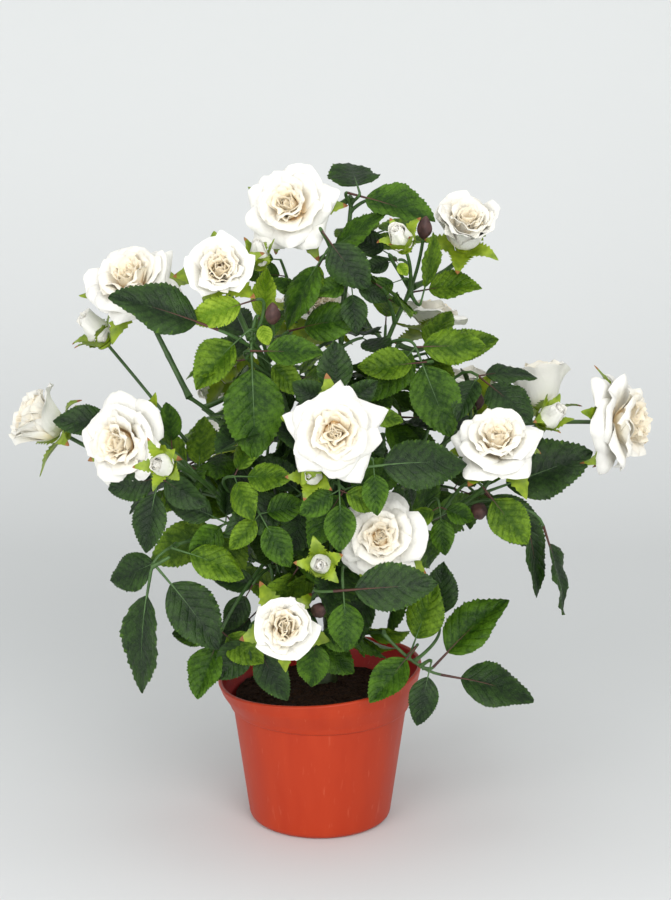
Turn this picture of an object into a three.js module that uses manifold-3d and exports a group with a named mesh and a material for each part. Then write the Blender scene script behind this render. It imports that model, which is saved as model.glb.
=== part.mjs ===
// An artificial rose bush in a round plastic pot: a moulded stem that forks inside the crown, wired side
// stems with compound leaves of three or five serrated leaflets, and cream fabric roses with leafy calyxes.
// Millimetres, +Z up. The origin is the centre of the flat underside of the pot, and the bush is dressed to
// be seen along +Y.
import * as THREE from "three";
import { mergeVertices } from "three/addons/utils/BufferGeometryUtils.js";
import Module from "manifold-3d";

const wasm = await Module();
wasm.setup();

// ---------------------------------------------------------------- driving dimensions
const POT = {
  baseRadius: 36.5,
  baseRound: 4,
  wall: 1.5,
  floor: 2,
  collarFoot: 62, // height at which the wall steps out into the collar
  collarFootRadius: 44.4,
  collarStep: 0.9,
  lipHeight: 79,
  lipRadius: 51.6,
  lipTilt: 0.088, // the soft lip stands higher on the +X side: rise per millimetre of x
  sides: 26,
};
const SOIL = { edge: 66.5, crown: 70, gap: 0.4, sides: 20 };
const GAP = 0.3; // clear space where one piece meets the next
const WELD = 1e-3; // vertices nearer than this are one

const TRUNK = {
  foot: [2, 10],
  fork: [10, 6, 104],
  tip: [3, 0, 152],
  footRadius: 5,
  tipRadius: 2.4,
  flare: 1.9, // extra radius at the foot
  flareHeight: 7,
  sides: 8,
  steps: 8,
};
const BOUGH = { share: 0.34, shortest: 66, rootRadius: 1.9, tipRadius: 1.25, sides: 4, steps: 3 };
const STEM = { tipRadius: 0.9, sides: 4, steps: 6 }; // the leafy end of a branch
const ROSE_STALK = { radius: 0.95, sides: 3, steps: 5, apart: 0.12 }; // `apart`: from one stalk to the next
const BUD_STALK = { radius: 0.8, sides: 3, steps: 3, first: 0.94, apart: 0.12 };
const LEAF_STALK = { radius: 0.8, endRadius: 0.68, sides: 3, step: 9 };

// The crown's own space, an egg round a point on its axis. Leaves dealt out by the rule stay inside it.
const CROWN = { centre: [4, 4, 196], radius: [106, 100, 144] };
const DISPLAY = [0, -0.96, 0.28]; // the way the dressed side looks
const LEAF = {
  thickness: 1.2, // where its leaflets meet; they thin out from there to their edges
  widthShare: 0.62,
  widest: 0.42, // place of the greatest width along a leaflet
  fold: 0.06, // rise of the edges over the midrib, as a share of the length
  droop: 0.1, // fall of the tip, as a share of the length
  neck: 0.2, // stalk of the last leaflet, as a share of its length
  spacing: 14.5, // between compound leaves along a stem
  turn: 137.5, // degrees from one leaf to the next round the stem
  pairAngle: 66,
  pairScale: 0.84, // a side leaflet against the last one
  pairStep: 0.4, // between two pairs, as a share of the last leaflet's length
};
const SEPAL_COUNT = 5;

// Each branch leaves the trunk at `from` and ends at `tip`, where its flower stalks part. `leafy` is how
// far along it the compound leaves start, and `sparse` thins them out.
const BRANCHES = [
  { name: "top", from: 151, tip: [16, 8, 322], leafy: 0.25, sparse: 0.2 },
  { name: "upper_left", from: 146, tip: [-33, -38, 262], leafy: 0.1, sparse: 0 },
  { name: "upper_right", from: 144, tip: [46, -4, 280], leafy: 0.2, sparse: 0.3 },
  { name: "left_high", from: 132, tip: [-64, -12, 226], leafy: 0.3, sparse: 0.1 },
  { name: "right_back", from: 137, tip: [40, 40, 240], leafy: 0.2, sparse: 0.1 },
  { name: "left", from: 118, tip: [-56, -36, 186], leafy: 0.1, sparse: 0 },
  { name: "right", from: 126, tip: [84, 8, 212], leafy: 0.25, sparse: 0.1 },
  { name: "front", from: 112, tip: [3, -60, 202], leafy: 0.1, sparse: 0 },
  { name: "right_front", from: 105, tip: [68, -32, 176], leafy: 0.15, sparse: 0.25 },
  { name: "low_left", from: 92, tip: [-40, -38, 164], leafy: 0.3, sparse: 0.3 },
  { name: "front_low", from: 98, tip: [16, -50, 152], leafy: 0.1, sparse: 0.1 },
  { name: "low_front", from: 84, tip: [-10, -48, 128], leafy: 0.1, sparse: 0.1 },
  { name: "low_right", from: 88, tip: [32, -36, 112], leafy: 0.2, sparse: 0.2 },
  { name: "back_high", from: 136, tip: [-14, 50, 262], leafy: 0.1, sparse: 0 },
  { name: "back_left", from: 122, tip: [-60, 42, 206], leafy: 0.1, sparse: 0 },
  { name: "back_right", from: 108, tip: [62, 52, 176], leafy: 0.1, sparse: 0 },
  { name: "back_low", from: 95, tip: [-8, 62, 146], leafy: 0.1, sparse: 0 },
];

// Roses: where the head is, which way it looks, its width, and how far it has opened (0 a bud, 1 flat).
const ROSES = [
  { branch: "top", at: [-12.6, -10, 321], faces: [-0.3, -0.8, 0.5], width: 45, open: 0.9 },
  { branch: "upper_left", at: [-46.8, -45, 298], faces: [-0.05, -0.85, 0.45], width: 31, open: 0.5 },
  { branch: "left_high", at: [-92.8, -15, 285], faces: [-0.28, -0.42, 0.85], width: 46, open: 0.85 },
  { branch: "left", at: [-94.2, -50, 215], faces: [-0.5, -0.82, 0.2], width: 44, open: 0.85 },
  { branch: "left", at: [-138, 6, 208], faces: [-0.8, -0.1, 0.5], width: 31, open: 0.35 },
  { branch: "front", at: [7.8, -98, 233], faces: [0.05, -0.97, 0.2], width: 48, open: 1 },
  { branch: "upper_right", at: [73, 5, 310.5], faces: [0.1, -0.62, 0.75], width: 31, open: 0.45 },
  { branch: "right_back", at: [59, 60, 252], faces: [0.2, 0.45, 0.85], width: 34, open: 0.7 },
  { branch: "right", at: [112, 30, 219], faces: [-0.1, 0.4, 0.88], width: 30, open: 0.3 },
  { branch: "right", at: [150, 0, 210], faces: [0.88, -0.45, 0.08], width: 49, open: 0.9 },
  { branch: "right_front", at: [85, -60, 217], faces: [0.02, -0.72, 0.66], width: 45, open: 0.8 },
  { branch: "front_low", at: [31.6, -75, 174], faces: [-0.08, -0.9, 0.38], width: 44, open: 0.85 },
  { branch: "low_front", at: [-15.2, -82, 130], faces: [0.05, -0.97, 0.15], width: 32, open: 0.55 },
  { branch: "back_high", at: [-14, 98, 242], faces: [-0.2, 0.85, 0.5], width: 45, open: 0.9 },
  { branch: "back_high", at: [0, 30, 264], faces: [0.15, -0.5, 0.85], width: 34, open: 0.7 },
  { branch: "back_left", at: [-54, 72, 222], faces: [-0.6, 0.7, 0.35], width: 38, open: 0.8 },
  { branch: "back_left", at: [-46, 94, 176], faces: [-0.45, 0.88, 0.2], width: 32, open: 0.5 },
  { branch: "back_right", at: [84, 86, 200], faces: [0.55, 0.8, 0.3], width: 46, open: 0.9 },
  { branch: "back_low", at: [4, 100, 168], faces: [0, 0.97, 0.2], width: 44, open: 0.85 },
];

// Buds on stalks: white ones look out of a leafy calyx, brown ones are still shut.
const BUDS = [
  { branch: "front_low", at: [1, -90, 165], faces: [0, -0.97, 0.25], width: 10, brown: false },
  { branch: "left", at: [-74, -82, 212], faces: [-0.35, -0.85, 0.3], width: 11, brown: false },
  { branch: "upper_right", at: [39, -30, 310], faces: [-0.3, -0.55, 0.78], width: 12, brown: false },
  { branch: "upper_left", at: [-29, -24, 300], faces: [-0.1, -0.3, 0.95], width: 10, brown: false },
  { branch: "left_high", at: [-110, 2, 258], faces: [-0.8, -0.1, 0.6], width: 13, brown: false },
  { branch: "right", at: [114, -18, 218], faces: [0.6, -0.5, 0.6], width: 12, brown: false },
  { branch: "front", at: [-3, -84, 207], faces: [-0.2, -0.9, 0.3], width: 9, brown: false },
  { branch: "upper_left", at: [-22, -42, 275], faces: [0, -0.3, 0.95], width: 8, brown: true },
  { branch: "upper_right", at: [51, -14, 311], faces: [0.1, -0.2, 0.97], width: 8, brown: true },
  { branch: "right", at: [78, -4, 222], faces: [0, -0.4, 0.9], width: 8, brown: true },
  { branch: "right_front", at: [78, -40, 176], faces: [0.2, -0.9, 0.4], width: 9, brown: true },
  { branch: "low_front", at: [0, -72, 136], faces: [0.4, -0.8, 0.5], width: 8, brown: true },
  { branch: "back_low", at: [-20, 90, 200], faces: [-0.3, 0.8, 0.5], width: 11, brown: false },
  { branch: "back_right", at: [42, 88, 212], faces: [0.1, 0.5, 0.85], width: 11, brown: false },
];

// Compound leaves that the bush is known by: the branch, the place along it where the leaf stalk starts, the
// point where the last leaflet begins and the point of its tip, the way its upper side looks, and how many
// leaflets there are.
const FEATURE_LEAVES = [
  ["top", 0.86, [19, 8, 327], [16, 36, 336], [0, -0.8, 0.6], 3],
  ["top", 0.62, [7, -28, 293], [24, -38, 283], [-0.1, -0.9, 0.4], 3],
  ["top", 0.5, [16, -26, 283], [18, -38, 265], [0.1, -0.9, 0.35], 3],
  ["upper_left", 0.8, [-32, -46, 251], [-30, -64, 210], [0.05, -0.9, 0.35], 3],
  ["upper_left", 0.8, [-47, -44, 259], [-61, -56, 236], [-0.3, -0.8, 0.5], 3],
  ["upper_left", 0.5, [8, -62, 240], [7, -58, 266], [0, -0.9, 0.4], 3],
  ["upper_left", 0.9, [-56, -52, 273], [-97, -62, 291], [0.1, -0.75, 0.65], 1],
  ["upper_right", 0.72, [50, -20, 246], [64, -38, 213], [0.1, -0.9, 0.4], 3],
  ["upper_right", 0.95, [52, 2, 277], [79, -4, 283], [0.1, -0.65, 0.75], 3],
  ["right_back", 0.8, [59, 14, 243], [88, 8, 250], [0.1, -0.75, 0.65], 3],
  ["left", 0.9, [-78, -60, 193], [-85, -66, 163], [-0.3, -0.9, 0.2], 3],
  ["left", 0.6, [-36, -58, 199], [-13, -70, 202], [0, -0.85, 0.5], 3],
  ["left", 0.75, [-51, -48, 177], [-73, -52, 191], [-0.1, -0.8, 0.6], 3],
  ["left", 0.97, [-103, -16, 210], [-131, -20, 215], [0, -0.6, 0.8], 1],
  ["right", 0.85, [91, -14, 180], [135, -12, 195], [0, -0.6, 0.8], 3],
  ["right", 0.6, [82, -22, 236], [102, -44, 224], [-0.1, -0.5, 0.85], 3],
  ["front", 0.85, [28, -84, 212], [70, -82, 216], [0.05, -0.8, 0.6], 3],
  ["front", 0.65, [10, -84, 195], [11, -92, 172], [0, -0.95, 0.3], 3],
  ["right_front", 0.97, [102, -40, 168], [108, -46, 134], [0.5, -0.75, 0.35], 3],
  ["right_front", 0.7, [59, -46, 176], [61, -54, 158], [0, -0.9, 0.4], 3],
  ["low_left", 0.97, [-81, -62, 142], [-89, -72, 94], [-0.3, -0.85, 0.4], 5],
  ["low_left", 0.7, [-50, -54, 113], [-61, -62, 87], [-0.2, -0.9, 0.35], 3],
  ["low_left", 0.5, [-26, -62, 177], [-14, -72, 158], [0.1, -0.95, 0.3], 3],
  ["front_low", 0.9, [16, -80, 149], [56, -78, 156], [0.05, -0.85, 0.5], 3],
  ["low_front", 0.9, [-2, -66, 119], [-3, -68, 94], [0, -0.95, 0.3], 3],
  ["low_front", 0.6, [-30, -56, 111], [-16, -62, 85], [0, -0.95, 0.3], 3],
  ["low_right", 0.97, [67, -44, 93], [106, -48, 89], [0, -0.8, 0.6], 5],
].map(([branch, along, end, tip, looks, leaflets]) => ({ branch, along, end, tip, looks, leaflets }));

// ---------------------------------------------------------------- small tools
const vec = (p) => new THREE.Vector3(...p);
const UP = vec([0, 0, 1]);
const radians = THREE.MathUtils.degToRad;
const mix = (a, b, t) => a + (b - a) * t;

// A number from 0 to 1 that is always the same for the same keys.
function chance(a, b = 0, c = 0) {
  const s = Math.sin(a * 12.9898 + b * 78.233 + c * 37.719) * 43758.5453;
  return s - Math.floor(s);
}

// `hint` turned square to `along`, as a unit vector.
function square(hint, along) {
  return hint.clone().addScaledVector(along, -hint.dot(along)).normalize();
}

// Two unit vectors square to an axis, that turns about it are counted from.
function aroundAxis(axis) {
  const side = square(Math.abs(axis.z) > 0.9 ? vec([0, 1, 0]) : UP, axis);
  return { side, other: axis.clone().cross(side) };
}

function solidOf(geometry, tolerance = 1e-4) {
  const bare = geometry.clone();
  for (const name of Object.keys(bare.attributes)) {
    if (name !== "position") bare.deleteAttribute(name);
  }
  const merged = mergeVertices(bare, tolerance);
  const mesh = new wasm.Mesh({
    numProp: 3,
    vertProperties: merged.attributes.position.array,
    triVerts: new Uint32Array(merged.index.array),
  });
  return new wasm.Manifold(mesh);
}

function geometryOf(solid) {
  const mesh = solid.getMesh();
  return new THREE.BufferGeometry()
    .setAttribute("position", new THREE.BufferAttribute(new Float32Array(mesh.vertProperties), 3))
    .setIndex(new THREE.BufferAttribute(new Uint32Array(mesh.triVerts), 1));
}

// Every vertex of a geometry goes where `move` sends it.
function reshaped(geometry, move) {
  const position = geometry.attributes.position;
  for (let i = 0; i < position.count; i += 1) {
    const p = move(new THREE.Vector3().fromBufferAttribute(position, i));
    position.setXYZ(i, p.x, p.y, p.z);
  }
  return geometry;
}

// The fused solid of several, with any hollow inside it filled and loose scraps dropped. It is welded a
// second time because a narrow neck may close at that tolerance.
function fused(solids) {
  const largest = (joined) => joined.decompose().reduce((a, b) => (a.volume() > b.volume() ? a : b));
  const outer = largest(solids.reduce((a, b) => a.add(b)));
  return largest(solidOf(geometryOf(outer), WELD));
}

// ---------------------------------------------------------------- limbs
// A closed cylinder bent along a curve, tapering from its root to its tip.
function limb(curve, rootRadius, tipRadius, sides, steps) {
  const frames = curve.computeFrenetFrames(steps, false);
  return reshaped(new THREE.CylinderGeometry(1, 1, 1, sides, steps), (p) => {
    const t = p.y + 0.5;
    const k = Math.round(t * steps);
    const radius = mix(rootRadius, tipRadius, t);
    return curve
      .getPointAt(t)
      .addScaledVector(frames.normals[k], p.x * radius)
      .addScaledVector(frames.binormals[k], -p.z * radius);
  });
}

function bend(root, middle, tip) {
  return new THREE.QuadraticBezierCurve3(root, middle, tip);
}

// The stretch of a bend between two places on it, which is a bend too.
function stretchOf(curve, from, to) {
  const middle = curve.v0
    .clone()
    .multiplyScalar((1 - from) * (1 - to))
    .addScaledVector(curve.v1, from * (1 - to) + to * (1 - from))
    .addScaledVector(curve.v2, from * to);
  return bend(curve.getPoint(from), middle, curve.getPoint(to));
}

const trunkCurve = bend(vec([...TRUNK.foot, SOIL.crown]), vec(TRUNK.fork), vec(TRUNK.tip));

// The trunk's axis and radius at a height.
function trunkAt(height) {
  let t = (height - SOIL.crown) / (TRUNK.tip[2] - SOIL.crown);
  for (let i = 0; i < 8; i += 1) t += (height - trunkCurve.getPoint(t).z) / (TRUNK.tip[2] - SOIL.crown);
  return { point: trunkCurve.getPoint(t), radius: mix(TRUNK.footRadius, TRUNK.tipRadius, t) };
}

// The trunk leans and tapers from its flared foot, cut level with the soil, to its tip.
function trunkSolid() {
  const { footRadius, tipRadius, flare, flareHeight, sides, steps } = TRUNK;
  return solidOf(
    reshaped(new THREE.CylinderGeometry(1, 1, 1, sides, steps), (p) => {
      const point = trunkCurve.getPoint(p.y + 0.5);
      const spread = flare * Math.max(0, 1 - (point.z - SOIL.crown) / flareHeight);
      const radius = mix(footRadius, tipRadius, p.y + 0.5) + spread;
      return point.add(vec([p.x * radius, -p.z * radius, 0]));
    }),
  );
}

// A branch rises from the trunk and arches out to its tip.
function branchCurve(branch) {
  const tip = vec(branch.tip);
  const { point, radius } = trunkAt(branch.from);
  const out = square(tip.clone().sub(point), UP);
  const root = point.clone().addScaledVector(out, radius + GAP + BOUGH.rootRadius);
  const middle = root.clone().lerp(tip, 0.32);
  middle.z = mix(root.z, tip.z, 0.66);
  return bend(root, middle, tip);
}

// ---------------------------------------------------------------- leaves
// The point of a leaflet that is `u` of the way from its root to its tip, and `v` from its midrib to an edge.
function leafletPoint({ root, along, looks, length }, u, v) {
  const side = looks.clone().cross(along);
  return root
    .clone()
    .addScaledVector(along, u * length)
    .addScaledVector(side, 0.5 * v * LEAF.widthShare * length)
    .addScaledVector(looks, (LEAF.fold * Math.abs(v) - LEAF.droop * u * u) * length);
}

// Leaflets that spread from one node, as one thin solid: an outline round the node with a lobe for each
// leaflet, raised to the leaf's thickness at the node. Each lobe is creased along its midrib.
function fanSolid({ node, looks, leaflets, front }, thickness) {
  const rim = [];
  leaflets.forEach((leaflet, k) => {
    rim.push(leafletPoint(leaflet, LEAF.widest, -1), leafletPoint(leaflet, 1, 0));
    rim.push(leafletPoint(leaflet, LEAF.widest, 1));
    const next = leaflets[k + 1];
    const inward = next ? leaflet.along.clone().add(next.along) : front.clone().negate();
    rim.push(node.clone().addScaledVector(inward.normalize(), 1.3));
  });
  return solidOf(
    reshaped(new THREE.SphereGeometry(1, rim.length, 2), (p) => {
      if (Math.abs(p.y) > 0.5) return node.clone().addScaledVector(looks, 0.5 * p.y * thickness);
      const turn = Math.atan2(p.z, -p.x) / (2 * Math.PI);
      return rim[Math.round((turn + 1) * rim.length) % rim.length].clone();
    }),
  );
}

// A compound leaf: a stalk whose end carries the last leaflet and a pair, with a second pair behind it on a
// leaf of five.
function compoundLeaf({ root, end, tip, looks, leaflets, seed }) {
  const along = tip.clone().sub(end);
  const size = along.length();
  along.normalize();
  const face = square(looks, along);
  const endLeaflet = { root: end, along, looks: face, length: size };
  const last = end.clone().addScaledVector(along, -LEAF.neck * size);
  const stalk = bend(root, last.clone().addScaledVector(along, -0.35 * last.distanceTo(root)), last);
  const fans = [];
  for (let pair = 0; pair < (leaflets - 1) / 2; pair += 1) {
    const place = Math.max(1 - (pair * LEAF.pairStep * size) / stalk.getLength(), 0.25);
    const node = stalk.getPointAt(place);
    const onward = stalk.getTangentAt(place);
    const up = square(looks, onward);
    const side = up.clone().cross(onward);
    const [right, left] = [-1, 1].map((hand) => {
      const angle = radians(LEAF.pairAngle + 16 * (chance(seed, pair, hand) - 0.5));
      const way = onward.clone().multiplyScalar(Math.cos(angle));
      way.addScaledVector(side, hand * Math.sin(angle));
      const turned = square(up.clone().addScaledVector(side, 0.22 * hand), way);
      const length = size * LEAF.pairScale * (1 - 0.1 * pair);
      return { root: node.clone().addScaledVector(way, 1.5), along: way, looks: turned, length };
    });
    fans.push({ node, looks: up, front: onward, leaflets: pair ? [right, left] : [right, endLeaflet, left] });
  }
  if (leaflets === 1) fans.push({ node: last, looks: face, front: along, leaflets: [endLeaflet] });
  return { stalk, fans };
}

// True if a point lies in the crown's space.
function inCrown(p) {
  const [x, y, z] = CROWN.centre;
  const [rx, ry, rz] = CROWN.radius;
  return ((p.x - x) / rx) ** 2 + ((p.y - y) / ry) ** 2 + ((p.z - z) / rz) ** 2 < 1;
}

// True if a point hangs before a rose, on the side that the rose looks to or, for the roses of the dressed
// side, on that side, or if it is too near the rose's head.
function hidesRose(p) {
  return ROSES.some((rose) => {
    const away = p.clone().sub(vec(rose.at));
    const ways = [vec(rose.faces).normalize()];
    if (!rose.branch.startsWith("back_")) ways.push(vec(DISPLAY));
    if (away.length() < 0.62 * rose.width) return true;
    return ways.some((way) => {
      const before = away.dot(way);
      const across = Math.sqrt(Math.max(away.lengthSq() - before * before, 0));
      return before > -4 && before < 70 && across < 0.6 * rose.width;
    });
  });
}

// True if a point is inside the pot or too near its wall.
function inPot(p) {
  return p.z < POT.lipHeight + 5 && Math.hypot(p.x, p.y) < POT.lipRadius + 6;
}

// The compound leaves that a branch is known by.
function featureLeaves({ name, index, curve }) {
  return FEATURE_LEAVES.filter((leaf) => leaf.branch === name).map((leaf, k) => ({
    root: curve.getPoint(leaf.along),
    end: vec(leaf.end),
    tip: vec(leaf.tip),
    looks: vec(leaf.looks).normalize(),
    leaflets: leaf.leaflets,
    seed: index + 0.1 * k,
    byRule: false,
  }));
}

// The rest of a branch's compound leaves, one after another round the stem at a fixed turn.
function leavesByRule({ index, curve, leafy: start, sparse }) {
  const count = Math.floor((curve.getLength() * (1 - start)) / LEAF.spacing);
  const made = [];
  for (let k = 0; k < count; k += 1) {
    if (chance(index, k, 1) < sparse) continue;
    const place = start + ((k + 0.5) / count) * (0.99 - start);
    const root = curve.getPoint(place);
    const onward = curve.getTangent(place);
    const { side, other } = aroundAxis(onward);
    const turn = radians(LEAF.turn * k + 90 * index);
    const out = side.clone().multiplyScalar(Math.cos(turn)).addScaledVector(other, Math.sin(turn));
    const way = out.multiplyScalar(0.85).addScaledVector(onward, 0.5);
    way.z += 0.12 - 0.5 * chance(index, k, 2);
    way.normalize();
    const size = mix(27, 38, chance(index, k, 3));
    const leaflets = chance(index, k, 4) < 0.3 ? 5 : 3;
    const end = root.clone().addScaledVector(way, size * (leaflets === 5 ? 1.05 : 0.6));
    const tip = end.clone().addScaledVector(way, size).add(vec([0, 0, -0.25 * size]));
    const outward = root.clone().sub(vec(CROWN.centre)).normalize();
    const sway = vec([0.5 * (chance(index, k, 5) - 0.5), -0.15, 0.55]);
    const looks = outward.multiplyScalar(0.75).add(sway).normalize();
    made.push({ root, end, tip, looks, leaflets, seed: index + 0.1 * k, byRule: true });
  }
  return made;
}

// ---------------------------------------------------------------- roses
// The rows of petals of a rose that has opened that far. Each row is a bowl with one lobe a petal: its foot,
// belly, rim and the bottom of its hollow, outward from the axis and up along it.
function petalRows(radius, depth, open) {
  const row = (petals, reach, foot, belly, rim, hollow) => ({
    petals,
    foot: foot * depth,
    belly: [reach * radius * mix(0.95, 0.6, open), belly * depth],
    rim: [reach * radius, rim * depth],
    hollow: hollow * depth,
  });
  return [
    row(5, 1, 0, 0.2, mix(0.86, 0.6, open), 0.4),
    row(4, mix(0.72, 0.56, open), 0.25, 0.6, 0.94, 1.06),
  ];
}

// A row of petals as one bowl, its rim drawn in and down between the lobes.
function petalBowl(base, axis, row, start) {
  const { side, other } = aroundAxis(axis);
  const outline = [[0, row.foot], row.belly, row.rim, [0, row.hollow]];
  const points = outline.map(([r, h]) => new THREE.Vector2(r, h));
  return reshaped(new THREE.LatheGeometry(points, 2 * row.petals), (p) => {
    const out = Math.hypot(p.x, p.z);
    const turn = Math.atan2(p.x, p.z);
    const notch = (out / row.rim[0]) ** 4 * (0.5 - 0.5 * Math.cos(row.petals * turn));
    const radius = out * (1 - 0.2 * notch);
    return base
      .clone()
      .addScaledVector(side, Math.cos(turn + start) * radius)
      .addScaledVector(other, Math.sin(turn + start) * radius)
      .addScaledVector(axis, p.y - 0.3 * notch * (row.rim[1] - row.foot));
  });
}

function roseHead({ at, faces, width, open }, seed) {
  const radius = width / 2;
  const depth = mix(1.5, 0.62, open) * radius;
  const axis = vec(faces).normalize();
  const base = vec(at).addScaledVector(axis, -0.7 * depth);
  const solids = petalRows(radius, depth, open).map((row, k) =>
    solidOf(petalBowl(base, axis, row, seed + (Math.PI * k) / row.petals)),
  );
  return { base, axis, solids };
}

// A ball stretched along an axis.
function ball(centre, axis, radius, halfLength) {
  const turn = new THREE.Quaternion().setFromUnitVectors(vec([0, 1, 0]), axis);
  return solidOf(
    reshaped(new THREE.SphereGeometry(1, 5, 3), (p) =>
      p.set(p.x * radius, p.y * halfLength, p.z * radius).applyQuaternion(turn).add(centre),
    ),
  );
}

// The calyx: a star of five leafy sepals that stand out from under the head, deep in its middle.
function calyx(base, axis, width, spread, seed) {
  const { side, other } = aroundAxis(axis);
  const length = 9 + 0.34 * width;
  return solidOf(
    reshaped(new THREE.SphereGeometry(1, 2 * SEPAL_COUNT, 2), (p) => {
      if (Math.abs(p.y) > 0.5) return base.clone().addScaledVector(axis, p.y > 0 ? 1 : -0.12 * width - 1.6);
      const turn = Math.atan2(p.z, p.x);
      const tip = Math.cos(SEPAL_COUNT * turn) > 0;
      const reach = tip ? length * Math.cos(spread) : 0.13 * width + 1;
      return base
        .clone()
        .addScaledVector(side, Math.cos(turn + seed) * reach)
        .addScaledVector(other, -Math.sin(turn + seed) * reach)
        .addScaledVector(axis, tip ? length * (Math.sin(spread) - 0.16) : 0);
    }),
  );
}

// A flower stalk leaves its branch at a place near the tip and arrives square to the calyx. `clear` is how
// far from the branch's axis it starts.
function stalkCurve(branchAxis, place, base, axis, clear) {
  const start = branchAxis.getPoint(place);
  const middle = base.clone().addScaledVector(axis, -0.5 * base.distanceTo(start));
  const way = middle.clone().sub(start).normalize();
  return bend(start.addScaledVector(way, clear), middle, base);
}

// A bud on its stalk, with a calyx if it is a white one.
function budSolid({ at, faces, width, brown }, order, branchAxis) {
  const { radius, sides, steps, first, apart } = BUD_STALK;
  const axis = vec(faces).normalize();
  const base = vec(at).addScaledVector(axis, -0.6 * width);
  const curve = stalkCurve(branchAxis, first - apart * order, base, axis, 0);
  const stalk = limb(curve, radius, radius, sides, steps);
  const parts = [solidOf(stalk), ball(vec(at), axis, 0.42 * width, 0.7 * width)];
  if (!brown) parts.push(calyx(base, axis, width, 0.3, order));
  return fused(parts);
}

// ---------------------------------------------------------------- pot and filling
// The pot's wall: a closed profile turned round +Z, with its lip pulled out of level above the collar's foot.
function potSolid() {
  const { baseRadius, baseRound, wall, floor, collarFoot, collarFootRadius, collarStep } = POT;
  const { lipHeight, lipRadius, lipTilt, sides } = POT;
  const mid = mix(collarFootRadius + collarStep, lipRadius, 0.32);
  const outline = [
    [0, 0],
    [baseRadius - baseRound, 0],
    [baseRadius - 0.9, baseRound * 0.35],
    [baseRadius + 0.4, baseRound],
    [collarFootRadius, collarFoot - 0.5],
    [collarFootRadius + collarStep, collarFoot],
    [mid, mix(collarFoot, lipHeight, 0.55)],
    [lipRadius, lipHeight - 1.6],
    [lipRadius, lipHeight],
    [lipRadius - wall, lipHeight],
    [mid - wall, mix(collarFoot, lipHeight, 0.55)],
    [collarFootRadius - wall, collarFoot - 1],
    [baseRadius + 0.4 - wall, baseRound + 1],
    [baseRadius - baseRound, floor],
    [0, floor],
  ];
  return solidOf(
    reshaped(turned(outline, sides), (p) => {
      const share = Math.max(0, (p.z - collarFoot) / (lipHeight - collarFoot));
      return p.setZ(p.z + lipTilt * share * p.x);
    }),
  );
}

// The planted filling: a plug that follows the wall, with a low mound on top.
function soilSolid() {
  const { edge, crown, gap, sides } = SOIL;
  const { baseRadius, baseRound, wall, floor, collarFoot, collarFootRadius } = POT;
  const edgeRadius = collarFootRadius - wall - gap;
  const top = crown - GAP;
  const outline = [
    [0, floor + gap],
    [baseRadius - baseRound - gap, floor + gap],
    [baseRadius - wall - gap, baseRound + 1 + gap],
    [edgeRadius, collarFoot - 1],
    [edgeRadius + 0.8, edge],
    [edgeRadius / 2, mix(top, edge, 0.25)],
    [TRUNK.footRadius + 7, top],
    [0, top],
  ];
  return solidOf(turned(outline, sides));
}

// A profile of radius and height turned round +Z.
function turned(outline, sides) {
  const points = outline.map(([r, z]) => new THREE.Vector2(r, z));
  return new THREE.LatheGeometry(points, sides).rotateX(Math.PI / 2);
}

// ---------------------------------------------------------------- the pieces
const looks = {
  pot: new THREE.MeshStandardMaterial({ color: "#c1442a", roughness: 0.45, metalness: 0 }),
  soil: new THREE.MeshStandardMaterial({ color: "#2e1a12", roughness: 1, metalness: 0 }),
  stem: new THREE.MeshStandardMaterial({ color: "#2f5a2c", roughness: 0.6, metalness: 0 }),
  leaf: new THREE.MeshStandardMaterial({ color: "#2d5b2b", roughness: 0.7, metalness: 0 }),
  petal: new THREE.MeshStandardMaterial({ color: "#f4efe2", roughness: 0.8, metalness: 0 }),
};
const bush = new THREE.Group();
const placed = [];

function add(name, solid, material) {
  const mesh = new THREE.Mesh(geometryOf(solid), material);
  mesh.name = name;
  bush.add(mesh);
}

// Notes a solid as taken space. `mass` names the foliage that it belongs to, if any.
function place(solid, mass = "") {
  placed.push({ solid, mass, box: solid.boundingBox() });
}

// True if a solid touches anything that is placed and belongs to another mass.
function touches(solid, mass = "") {
  const box = solid.boundingBox();
  return placed.some(
    (other) =>
      !(mass && other.mass === mass) &&
      [0, 1, 2].every((i) => box.min[i] < other.box.max[i] && box.max[i] > other.box.min[i]) &&
      !solid.intersect(other.solid).isEmpty(),
  );
}

// True if a leaflet keeps to its branch's space and clear of what is placed there already.
function fits({ name, leaves }, leaf, fan, leaflet) {
  const alone = { ...fan, leaflets: [leaflet], front: leaflet.along };
  if (touches(fanSolid(alone, LEAF.thickness + 2 * GAP), name)) return false;
  if (!leaf.byRule) return true;
  const points = [0.55, 1].map((u) => leafletPoint(leaflet, u, 0));
  if (points.some((p) => !inCrown(p) || hidesRose(p) || inPot(p))) return false;
  const thin = fanSolid(alone, LEAF.thickness);
  return leaves.every((other) => other.intersect(thin).isEmpty());
}

// Adds a compound leaf to its branch, without the leaflets that don't fit.
function grow(branch, leaf) {
  const { stalk, fans } = compoundLeaf(leaf);
  const { radius, endRadius, sides, step } = LEAF_STALK;
  const steps = leaf.byRule ? Math.max(leaf.leaflets - 2, 1) : Math.ceil(stalk.getLength() / step);
  const twig = solidOf(limb(stalk, radius, endRadius, sides, steps));
  const made = fans
    .map((fan) => ({ ...fan, leaflets: fan.leaflets.filter((leaflet) => fits(branch, leaf, fan, leaflet)) }))
    .filter((fan) => fan.leaflets.length > 0)
    .map((fan) => fanSolid(fan, LEAF.thickness));
  if (made.length === 0 || touches(twig, branch.name)) return;
  branch.leaves.push(...made);
  branch.solids.push(twig, ...made);
  for (const solid of [twig, ...made]) place(solid, branch.name);
}

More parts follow.
